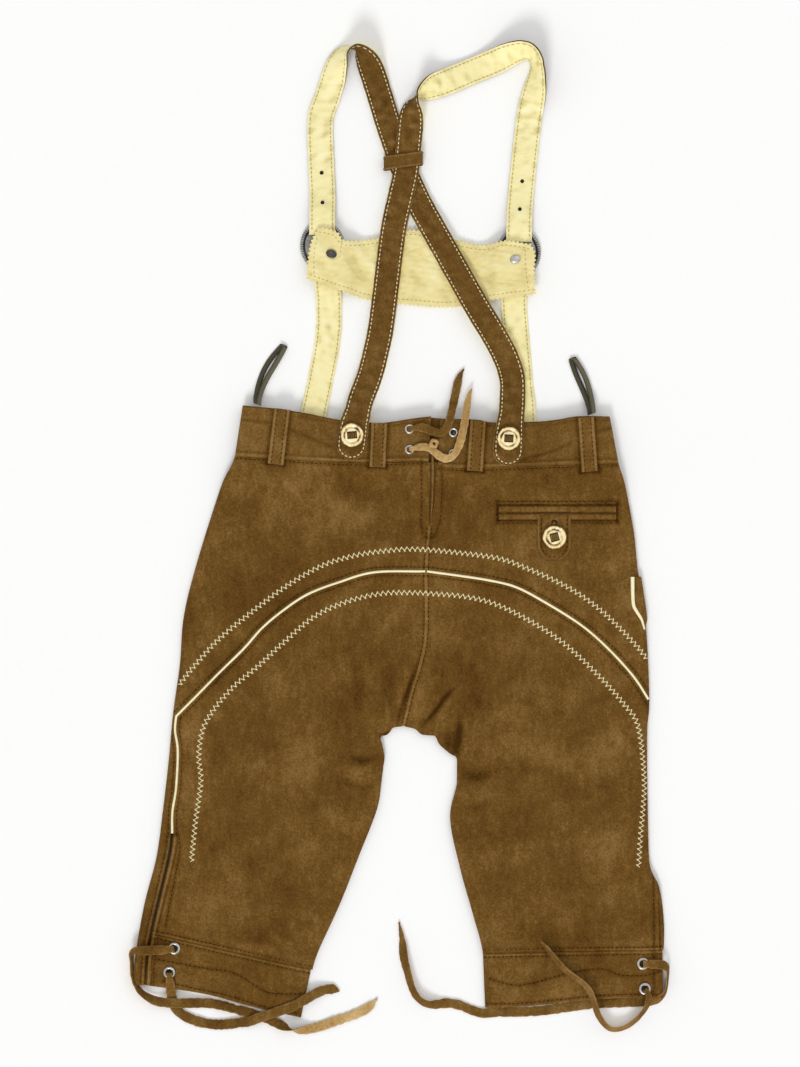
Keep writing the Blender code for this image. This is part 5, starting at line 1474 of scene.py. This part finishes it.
def bib_waves(points):
    """Wrinkles and creases of the bib."""
    height = 0.24 * waves(points, 16, 61) + 0.16 * waves(points, 7, 62)
    for curve, size, width in BIB_CREASES:
        height = height + 1.3 * size * bump_along(points, curve, width, taper=True)
    return np.maximum(height, -0.55)


def pinked(grid):
    """The grid with its border cut in small teeth."""
    moved = grid.copy()
    for side, line, inward in borders(grid):
        phase = way_along(line) / PINK["pitch"]
        tooth = np.abs(phase % 1 - 0.5) * 2 - 0.5
        moved[side] = line - inward * (tooth * PINK["depth"])[:, None]
    return moved


def bib():
    """Two layers with a pinked border, and stitches along it."""
    grid = coons(smooth(BIB_BOTTOM), smooth(BIB_TOP), smooth(BIB_LEFT), smooth(BIB_RIGHT), 224, 62)
    grid = pinked(grid)
    flat = grid.reshape(-1, 2)
    wave = bib_waves(flat)
    for name, rise, material, node in (("bib_suede", 0.0, "bib", "bib_face"),
                                       ("bib_cream", THIN + GAP, "bib", "bib_lining")):
        low = bib_low(flat) + rise + wave * (1 if rise else 0.5) + (0.4 if rise else 0.3)
        lower = np.column_stack([flat, low]).reshape(*grid.shape[:2], 3)
        # The tone follows the wrinkles: painted light on their crests and painted shade in their
        # troughs
        made = wall(name, lower + (0, 0, THIN), lower, material, "bib_leather", [node],
                    np.clip(0.5 + 0.16 * wave, 0, 1))
        declare(grid)

    def height_of(points):
        return bib_low(points) + 2 * THIN + GAP + bib_waves(points) + 0.4

    top, bottom = smooth(BIB_TOP), smooth(BIB_BOTTOM)
    rows = [beside(top, -4.0), beside(bottom, 4.0), smooth([(112, 256), (113, 236), (115, 219)]),
            smooth([(-74, 266), (-77, 250), (-77, 232)]), smooth([(-52, 264), (-54, 246)])]
    starts, ends = zip(*(row_on(row, height_of, length=2.4) for row in rows))
    stitches("bib_stitches", starts, ends, None, 0.6, 0.22, "grey", "bib_leather")


# ---------------------------------------------------------------- buttons and metal
def spun(centre, x, y, turn):
    """The point (x, y) from a centre, turned about it."""
    return (centre[0] + x * math.cos(turn) - y * math.sin(turn),
            centre[1] + x * math.sin(turn) + y * math.cos(turn))


def turned(name, centre, base, profile, material, slot, nodes, around=64, stretch=(1.0, 1.0),
           turn=0.0, tone_of=None, flutes=None):
    """A round piece from a profile of (radius, height), closed below by a flat disc."""
    angles = np.linspace(0, 2 * np.pi, around + 1)[:-1]
    points, tone = [], []
    for radius, height in profile:
        for angle in angles:
            grown = radius
            if flutes and radius > flutes[2]:
                grown += flutes[1] * math.cos(flutes[0] * angle)
            x, y = grown * math.cos(angle) * stretch[0], grown * math.sin(angle) * stretch[1]
            points.append((*spun(centre, x, y, turn), base + height))
            tone.append(0.5 if tone_of is None else tone_of(radius, angle))
    faces = grid_faces(len(profile), around, ring=True).tolist()
    faces.append(list(range(around))[::-1])
    faces.append([(len(profile) - 1) * around + k for k in range(around)])
    return piece(name, points, faces, material, slot, nodes, tone, angle=50)


def horn_tone(seed):
    """A function for the tone of a horn button: dark at the rim and in the groove, in patches."""
    own = np.random.default_rng(seed)
    phases = own.uniform(0, 2 * np.pi, 4)

    def tone(radius, angle):
        patches = sum(math.sin(k * angle + phase) for k, phase in zip((1, 2, 3, 5), phases)) / 4
        rim = math.exp(-((radius - 10.7) / 0.8) ** 2)
        groove = math.exp(-((radius - 7.0) / 0.9) ** 2)
        return 0.62 - rim * (0.30 + 0.5 * max(0, patches)) - groove * (0.24 + 0.30 * patches)
    return tone


BUTTON_PROFILE = ((9.6, 0), (10.7, 0.5), (11.0, 1.3), (10.7, 2.1), (10.0, 2.7), (9.2, 2.95),
                  (8.2, 2.7), (7.4, 1.9), (6.9, 1.7), (6.3, 2.2), (5.9, 2.6), (5.4, 2.75),
                  (3.0, 2.7), (0.3, 2.7))


def thong(name, centre, base, turn, wide, tall, slot):
    """The leather that holds a button: strands side by side over a dark square of painted shade in
    its hole.
    """
    points, faces = [], []
    strands = 4
    for strand in range(strands):
        first = len(points)
        middle = (strand + 0.5 - strands / 2) * wide / strands
        for share in np.linspace(-1, 1, 9):
            bulge = math.sqrt(max(0.0, 1 - share**4))
            for angle in np.linspace(0, 2 * np.pi, 9)[:-1]:
                x = middle + wide / strands * 0.43 * math.cos(angle)
                y = share * tall / 2
                z = base + 2.3 + (0.5 + 0.5 * math.sin(angle)) * 1.2 * bulge
                points.append((*spun(centre, x, y, turn), z))
        faces += grid_faces(9, 8, first, ring=True).tolist()
        faces += [[first + k for k in range(8)][::-1], [first + 64 + k for k in range(8)]]
    piece(name, points, faces, "lace", slot, tone=np.full(len(points), 0.56))
    # A dark box of painted shade in the hole under the strands
    rim = []
    for height in (base + 2.4, base + 2.85):
        for x, y in ((-1, -1), (1, -1), (1, 1), (-1, 1)):
            x, y = x * (wide / 2 + 0.5), y * (tall / 2 + 0.5)
            rim.append((*spun(centre, x, y, turn), height))
    piece(name + "_hole_shade", rim, [(3, 2, 1, 0), (4, 5, 6, 7), (0, 1, 5, 4), (1, 2, 6, 5),
                                (2, 3, 7, 6), (3, 0, 4, 7)], "hole", slot)


def buttons():
    """Three horn buttons, each on a leather thong."""
    top = STRAP_A[0][2] + STRAP_TOTAL + GAP     # above the straps' ends
    pocket_top = float(back_top([POCKET_BUTTON])[0]) + ON_BACK + 2 * GAP + WELT_THICK + SUEDE
    for k, (name, centre, base, turn, wide, tall) in enumerate((
            ("strap_button_left", (-42.8, 88.0), top, 0.08, 7.8, 5.6),
            ("strap_button_right", (97.3, 85.0), top, -0.05, 7.2, 6.0),
            ("pocket_button", POCKET_BUTTON, pocket_top, 0.25, 6.8, 6.8))):
        turned(name + "_horn", centre, base, BUTTON_PROFILE, "horn", "horn", [name],
               tone_of=horn_tone(k + 3))
        thong(name + "_thong", centre, base, turn, wide, tall, "strap_suede")


WAIST_EYELETS = [("waist_eyelet_1", (8.5, 93.6)), ("waist_eyelet_2", (8.5, 75.2)),
                 ("waist_eyelet_3", (47.7, 90.5)), ("waist_eyelet_4", (47.7, 71.5))]
HEM_EYELETS = [("hem_eyelet_1", (-202.5, -372.2)), ("hem_eyelet_2", (-207, -393.8)),
               ("hem_eyelet_3", (217.8, -385.7)), ("hem_eyelet_4", (219.6, -408.2))]


def eyelets():
    """Rolled metal rings, each with a dark disc of painted shade in its hole."""
    for group, diameter in ((WAIST_EYELETS, 8.4), (HEM_EYELETS, 10.6)):
        for name, centre in group:
            outer, hole = diameter / 2, diameter * 0.29
            ring = [(centre[0] + outer * math.cos(t), centre[1] + outer * math.sin(t))
                    for t in np.linspace(0, 6.28, 13)]
            base = float(back_top(ring).max()) + GAP
            middle, tube = (outer + hole) / 2, (outer - hole) / 2
            points = []
            for angle in np.linspace(0, 2 * np.pi, 57)[:-1]:
                for turn in np.linspace(0, 2 * np.pi, 13)[:-1]:
                    radius = middle + tube * math.cos(turn)
                    height = 0.55 + 0.6 * math.sin(turn)
                    points.append((centre[0] + radius * math.cos(angle),
                                   centre[1] + radius * math.sin(angle), base + height))
            faces = grid_faces(56, 12, ring=True).tolist()
            last = 55 * 12
            faces += [[last + k, last + (k + 1) % 12, (k + 1) % 12, k] for k in range(12)]
            piece(name + "_ring", points, outward(np.array(points), faces), "silver", "silver",
                  [name], angle=80)
            # A dark dish of painted shade in the eyelet's hole
            profile = ((hole + 0.25, 0), (hole + 0.25, 0.3), (hole * 0.5, 0.15))
            turned(name + "_hole_shade", centre, base - 0.15, profile, "hole", "silver", (), 24)


def buckles():
    """Oval antique discs under the bib, with a roped rim and a ribbed field."""
    profile = ((17.5, 0), (19.6, 0.7), (20.0, 1.6), (19.4, 2.6), (18.6, 2.9), (17.6, 2.7),
               (16.9, 2.0), (16.2, 2.0), (15.0, 2.7), (12.0, 2.9), (8.0, 2.9), (1.0, 2.9))

    def tone(radius, angle):
        groove = math.exp(-((radius - 16.5) / 0.7) ** 2)
        rope = 0.22 * math.cos(60 * angle) * (radius > 17)
        return 0.5 - 0.35 * groove + rope

    for name, centre in (("buckle_left", (-69.8, 258.8)), ("buckle_right", (106.6, 252.5))):
        turned(name + "_silver", centre, 0, profile, "antique", "antique_silver", [name], 240,
               (1.0, 1.12), tone_of=tone, flutes=(60, 0.35, 17.0))


def rivets():
    """One rivet at each end of the bib: dark with a rolled rim, and bright and domed."""
    base = BIB_LIFT + 2 * (THIN + GAP)
    for name, centre, material, slot, turn in (
            ("rivet_left", (-61.5, 250.6), "iron", "dark_metal", -0.35),
            ("rivet_right", (103.3, 245.8), "silver", "silver", 0.2)):
        profile = ((4.3, 0), (4.9, 0.35), (4.8, 0.9), (4.0, 1.25), (2.6, 1.1), (1.6, 0.7),
                   (0.3, 0.7)) if material == "iron" else (
                       (4.3, 0), (4.8, 0.35), (4.6, 0.9), (3.4, 1.45), (1.8, 1.7), (0.3, 1.75))
        turned(name + "_cap", centre, base + 0.4, profile, material, slot, [name], 40,
               (1.0, 0.78), turn)


# ---------------------------------------------------------------- laces
LACE_WAIST_BROWN = [(8.5, 93.6, 11.4, 0), (13, 94.4, 11.5, 0), (18, 94.8, 11.5, 0),
                    (24, 93.8, 11.5, 0), (30, 91, 11.5, 0), (36, 90, 11.5, 0),
                    (41, 93, 11.5, 0), (44, 100, 11.2, 0), (46, 108, 9.6, 0),
                    (48.2, 118, 6.8, 0), (50.3, 128, 4.2, 0), (52.5, 138, 2.0, 0),
                    (55, 144, 1.0, 0), (57.5, 148, 0.5, 0)]
LACE_WAIST_TAN = [(8.5, 75.2, 11.4, 0), (14, 76.6, 11.5, 0), (20, 77.6, 11.5, 0),
                  (26, 76.5, 11.5, 0), (31, 73, 11.6, 0), (36, 69, 11.8, 0),
                  (42, 67, 12.2, 0), (48, 70, 13.2, 0), (52.5, 78, 13.2, 0),
                  (55.5, 88, 13.2, 0), (57.6, 98, 13.0, 0), (59.2, 108, 10.4, 0),
                  (60.6, 117, 7.0, 0), (62, 124, 4.6, 0), (64.4, 130, 3.6, 0)]
LACE_LEFT_A = [(-202.5, -372.2, 8.1, 0), (-208, -372.8, 8.3, 0), (-216, -373.4, 8.7, 0),
               (-226, -373.7, 8.5, 0), (-233, -374.2, 7.2, 5), (-238, -375.2, 4.4, 30),
               (-240.4, -377.4, 1.4, 60), (-241.0, -380, 0.2, 74), (-241, -385, 0.0, 76),
               (-240.8, -390, 0.0, 76), (-240.2, -397, 0.0, 74), (-237.5, -405, 0.0, 70),
               (-232, -412.5, 0.0, 62), (-225, -417.5, 0.2, 48), (-217, -420.4, 2.0, 26),
               (-206, -421.6, 4.2, 0), (-196, -422, 3.2, 0), (-185, -422.2, 1.2, 0),
               (-172, -422.6, 0.1, 0), (-158, -424.8, 0.0, 25), (-148, -427.6, 0.0, 40),
               (-139, -430.2, 0.0, 12), (-127, -433.8, 0.0, 2), (-118, -437.0, 0.0, 2),
               (-107, -442, 0.0, 30), (-97, -446, 0.0, 100), (-86, -446.5, 0.0, 160),
               (-72, -443.5, 0.0, 180), (-57.6, -438.5, 0.0, 180), (-44, -434, 0.0, 180),
               (-32.4, -428.9, 0.0, 180), (-25, -423.5, 0.0, 180), (-20.5, -418.5, 0.0, 180)]
LACE_LEFT_B = [(-207, -393.8, 8.4, 0), (-206.6, -399, 8.2, 0), (-206.2, -404.5, 6.4, 0),
               (-205.8, -409.5, 4.7, 0), (-205.4, -414, 3.0, 0), (-204.8, -418.2, 1.6, 0),
               (-203.6, -423, 0.7, 0), (-200.8, -428.5, 0.1, 0), (-195.5, -433, 0.0, 0),
               (-188, -436.8, 0.0, 0), (-178, -440, 0.0, 0), (-166, -441.8, 0.0, 0),
               (-154.8, -441.4, 0.0, 0), (-144, -440.0, 0.8, 0), (-134.5, -438.2, 2.8, 0),
               (-126, -434.6, 4.2, 0), (-116, -431.2, 5.0, 0), (-105, -427.4, 6.0, 0),
               (-94.5, -423.3, 6.2, 0), (-85, -418.3, 5.4, 0), (-77, -413.8, 3.8, 0),
               (-69, -410.6, 1.8, 0), (-61.2, -409.8, 0.5, 0), (-54.5, -411.8, 0.0, 0)]
LACE_RIGHT_A = [(217.8, -385.7, 9.7, 0), (223, -385.7, 9.5, 0), (229, -386, 8.8, 0),
                (234.5, -386.6, 7.2, 10), (238, -387.8, 4.6, 32), (240.2, -390, 2.0, 56),
                (240.6, -393, 0.2, 70), (240.2, -400, 0.0, 74), (239.2, -408, 0.0, 72),
                (236, -415, 0.0, 52), (229.5, -420, 0.0, 24), (220, -421.4, 0.0, 8),
                (210, -421.6, 0.0, 0), (196, -422.2, 0.0, 0), (178, -422.8, 0.0, 0),
                (160, -425, 0.0, 0), (142, -427.5, 0.0, 0), (125, -429.6, 0.0, 0),
                (106, -430.6, 0.0, 0), (88, -430.5, 0.0, 0), (75, -431.6, 0.0, 0),
                (65, -429, 0.0, 0), (54, -424.5, 0.0, 0), (43, -422.5, 0.0, 0),
                (33, -423.5, 0.0, 15), (24, -423, 0.0, 35), (16.2, -418, 0.0, 40),
                (11, -409, 0.0, 40), (7, -396, 0.0, 40), (3.6, -382, 0.0, 30),
                (1.8, -365, 0.0, 20), (-0.9, -349.5, 0.0, 20)]
LACE_RIGHT_B = [(219.6, -408.2, 9.6, 0), (221.6, -411, 9.6, 10), (222.8, -414.4, 9.4, 20),
                (222.8, -418.4, 8.2, 35), (221.6, -422.5, 5.6, 45), (219.6, -427, 3.0, 50),
                (216.4, -432.2, 1.0, 52), (211.5, -437.8, 0.1, 52), (204.5, -442.6, 0.0, 50),
                (196.5, -445.3, 0.0, 50), (189.5, -445.2, 0.2, 50), (184, -441.2, 0.9, 50),
                (180, -435.5, 2.6, 50), (177, -429.5, 4.6, 50), (174.8, -423, 6.4, 50),
                (172.6, -416, 7.4, 50), (169.8, -409.5, 7.5, 50), (165, -403.8, 7.5, 50),
                (158.5, -398.6, 7.4, 50), (151, -393, 7.4, 50), (144, -386.8, 7.4, 50),
                (138, -379.5, 7.4, 55), (132.3, -372.2, 7.4, 60), (126.5, -366.2, 7.4, 60)]
# name, route, width, width at the eyelet, pointed length at the free end, side seen first
LACES = [("lace_waist_brown", LACE_WAIST_BROWN, 7.4, 4.0, 13, "lace", "lace"),
         ("lace_waist_tan", LACE_WAIST_TAN, 6.8, 4.0, 15, "tan", "tan"),
         ("lace_hem_left_a", LACE_LEFT_A, LACE_WIDTH + 0.6, 5.5, 12, "lace", "tan"),
         ("lace_hem_left_b", LACE_LEFT_B, LACE_WIDTH + 0.8, 5.0, 6, "lace", "lace"),
         ("lace_hem_right_a", LACE_RIGHT_A, LACE_WIDTH + 0.4, 6.5, 26, "lace", "tan"),
         ("lace_hem_right_b", LACE_RIGHT_B, LACE_WIDTH, 4.5, 8, "lace", "tan")]


def laces():
    """Flat thongs of suede, with rough edges and a pointed free end."""
    for k, (name, route, width, narrow, point, front, back) in enumerate(LACES):
        total = way_along(smooth(route)[:, :2])[-1]
        band = Band(route, 1.1, ([0, 4, 10, total - point, total, 2000],
                                 [narrow, narrow, width, width, 1.2, 1.2]), LACE_THICK)
        a = np.sin(np.linspace(-np.pi / 2, np.pi / 2, 9))
        ragged = 0.22 * band.waver(6, 70 + k)
        curl = 0.35 * band.waver(22, 80 + k)
        half = LACE_THICK / 2 * np.sqrt(np.clip(1 - np.abs(a) ** 6, 0.05, 1))
        flat = band.centre[:, None] + band.across[:, None] * (
            a[None] * (band.wide / 2 + ragged)[:, None])[..., None]
        rise = band.out[:, None] * ((a**2 - 0.4)[None] * curl[:, None])[..., None]
        grids = []
        for way_out in (1, -1):
            grid = flat + rise + way_out * band.out[:, None] * half[None, :, None]
            grid[..., 2] = np.maximum(grid[..., 2], LOWEST)
            grids.append(grid)
        tone = 0.5 + 0.16 * (np.abs(a) > 0.9)[None] + 0.06 * band.waver(30, 90 + k)[:, None]
        each = (len(band.way) - 1) * (len(a) - 1)
        made = wall(name + "_suede", *grids, front, "lace_suede", [name], np.clip(tone, 0, 1),
                    second=(back, np.arange(each, 2 * each)))
        path = band.centre * MM + PLACE * MM
        tuple(path[0])
        float(way_along(path)[-1])


KNOT, KNOT_BASE = (30.4, 80.4), 12.4


def knot():
    """The knot of the waist laces: two turns of thong over each other."""
    points, faces = [], []
    for turn, tilt, size, rise in ((0.5, 0.5, 3.2, 0.0), (2.0, -0.4, 3.0, 0.8)):
        first = len(points)
        for angle in np.linspace(0, 2 * np.pi, 41)[:-1]:
            for around in np.linspace(0, 2 * np.pi, 11)[:-1]:
                radius = size + 1.5 * math.cos(around)
                x, y = radius * math.cos(angle), 0.75 * radius * math.sin(angle)
                z = 1.7 + 1.4 * math.sin(around) + 0.7 * math.sin(angle + tilt) + rise
                points.append((*spun(KNOT, x, y, turn), KNOT_BASE + z))
        faces += grid_faces(40, 10, first, ring=True).tolist()
        last = first + 390
        faces += [[last + k, last + (k + 1) % 10, first + (k + 1) % 10, first + k]
                  for k in range(10)]
    piece("lace_waist_knot", points, outward(np.array(points), faces), "tan", "lace_suede",
          angle=80)


# ---------------------------------------------------------------- hanger loops and small parts
HANGERS = [("hanger_loop_left", (-128.0, 115.6), (-105.0, 168.0), 4.6),
           ("hanger_loop_right", (172.0, 107.2), (155.5, 156.5), -2.6)]
TAPE = {"width": 4.8, "thick": 1.0, "space": 0.5, "base": 5.6}


def hangers():
    """Loops of tape that lie doubled, with their two runs a little apart."""
    for name, base, fold, bow in HANGERS:
        base, fold = np.array(base), np.array(fold)
        length = np.linalg.norm(fold - base)
        forward = (fold - base) / length
        across = np.array([-forward[1], forward[0], 0])
        rise = TAPE["thick"] + TAPE["space"]
        path = []
        for run, places in ((0, np.linspace(0, 1, 40)), (1, np.linspace(1, 0, 40))):
            if run:
                for angle in np.radians(np.linspace(-70, 70, 7)):
                    path.append((length + 1.6 * math.cos(angle), 0.5 + rise / 2
                                 + rise / 2 * math.sin(angle), 1.6 * math.sin(angle), 1.0))
            for share in places:
                way = share * length
                drop = TAPE["base"] * (1 - float(smoothstep(way, 0, 24)))
                apart = (1.5 + 1.7 * math.sin(math.pi * share**1.6)) * (-1 if run else 1)
                path.append((way, drop + TAPE["thick"] / 2 + run * rise, apart, share))
        path = np.array(path)
        heading = np.gradient(path[:, :2], axis=0)
        heading /= np.linalg.norm(heading, axis=1, keepdims=True)
        a = np.linspace(-1, 1, 9)
        cup = 0.25 * (1 - np.abs(a) ** 3)
        grids = [[], []]
        for (way, height, apart, share), (run, climb) in zip(path, heading):
            bend = apart + bow * math.sin(math.pi * share**0.8)
            middle = np.array([*(base + forward * way), height]) + across * bend
            normal = np.array([*(-forward * climb), run])
            for grid, side in zip(grids, (1, -1)):
                grid.append([middle + across * TAPE["width"] / 2 * x
                             + normal * (TAPE["thick"] / 2 * side * (0.55 + 0.45 * c / 0.25))
                             for x, c in zip(a, cup)])
        # Painted light on the upper run and painted shade on the run below it, each darker towards
        # one edge
        front = smoothstep(np.arange(len(path)), 38, 48)
        within = np.where(front[:, None] > 0.5, a[None], -a[None])
        tone = 0.40 + 0.24 * front[:, None] - 0.34 * smoothstep(within, 0.2, 0.9)
        wall(name + "_tape", *grids, "tape", "tape", [name], tone)


def slit_edge():
    """The folded edge of the back slit, beside the dark insert."""
    curve = smooth([(29.3, 71), (29.4, 50), (28.8, 28), (27.4, 10)])
    # Painted light on the crown of the fold and painted shade at its sides
    ribbon("slit_fold", curve, ((0, 0.8, 1), (3.0, 2.4, 0.8)), on_back(-1.9), 1.2, "suede",
           "suede", (), crown=0.9, across=9, tone_of=lambda a: 0.66 - 0.3 * a**4)


def side_slit():
    """A dark strip of painted shadow in the left slit, seen between its edges."""
    # Painted shadow: a near-black strip in the gap of the slit
    ribbon("slit_shadow", spaced(CURVES["side_slit"], 60), 2.6, on_back(-2.6), 0.5, "hole",
           "suede", (), across=3)


def finish_nodes():
    """Materials for the solids that stay: the insert, the flap and the front's own trims."""
    for names, material in ((("back_gusset", "flap", "waistband_front"), "suede"),
                            (("flap_button_left", "flap_button_right",
                              "front_strap_button_left", "front_strap_button_right"), "horn")):
        for name in names:
            mesh = NODES[name].data
            if "tone" not in mesh.attributes:
                tone = mesh.attributes.new("tone", "FLOAT", "POINT")
                tone.data.foreach_set("value", np.full(len(mesh.vertices), 0.5, np.float32))
            mesh.materials.clear()
            mesh.materials.append(MATERIALS[material])


# ---------------------------------------------------------------- stage
def stage():
    """A near-white floor, soft light and a camera that looks straight down."""
    bpy.ops.mesh.primitive_plane_add(size=9, location=(0, 0, -0.0003))
    floor = bpy.context.object
    floor.name = "floor"
    shader = Shader("floor", 0.9, Specular_IOR_Level=0.1)
    shader.colour(shader.ramp(shader.noise(2.0, 2), (0.3, (0.975, 0.975, 0.97)),
                              (0.7, (0.985, 0.985, 0.98))))
    floor.data.materials.append(shader.material)
    floor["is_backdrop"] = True
    world = bpy.context.scene.world or bpy.data.worlds.new("studio")
    bpy.context.scene.world = world
    world.use_nodes = True
    sky = world.node_tree.nodes["Background"]
    sky.inputs["Color"].default_value = (1, 1, 1, 1)
    sky.inputs["Strength"].default_value = 0.66
    for name, turn, strength, soft in (("key", (44, -36, 20), 1.45, 18),
                                       ("fill", (-30, 36, 0), 0.32, 60)):
        light = bpy.data.lights.new(name, "SUN")
        light.energy = strength
        light.angle = math.radians(soft)
        lamp = bpy.data.objects.new(name, light)
        lamp.rotation_euler = [math.radians(angle) for angle in turn]
        bpy.context.collection.objects.link(lamp)
    camera = bpy.data.cameras.new("camera")
    camera.sensor_fit = "HORIZONTAL"
    camera.sensor_width = 36
    distance, width = 2.2, 0.720
    camera.lens = 36 * distance / width
    camera.clip_end = 20
    holder = bpy.data.objects.new("camera", camera)
    holder.location = (PLACE[0] * MM, PLACE[1] * MM, distance)
    bpy.context.collection.objects.link(holder)
    bpy.context.scene.camera = holder
    bpy.context.scene.view_settings.view_transform = "Standard"


stage()
back_panels()
front_left()
front_right()
cuff("cuff_left_suede", "cuff_left", spaced(CURVES["cuff_seam_left"], 60),
     spaced(CURVES["hem_left"], 60), True)
cuff("cuff_right_suede", "cuff_right", spaced(CURVES["cuff_seam_right"], 60),
     spaced(CURVES["hem_right"], 60), False)
waistband()
belt_loops()
piping()
topstitching()
feather_stitches()
pockets()
knife_pocket()
straps()
keeper()
bib()
buttons()
eyelets()
buckles()
rivets()
laces()
knot()
hangers()
slit_edge()
side_slit()
finish_nodes()

boxes = {"cad": CAD_BOX, "visual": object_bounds()}
{key: [list(map(float, corner)) for corner in box] for key, box in boxes.items()}
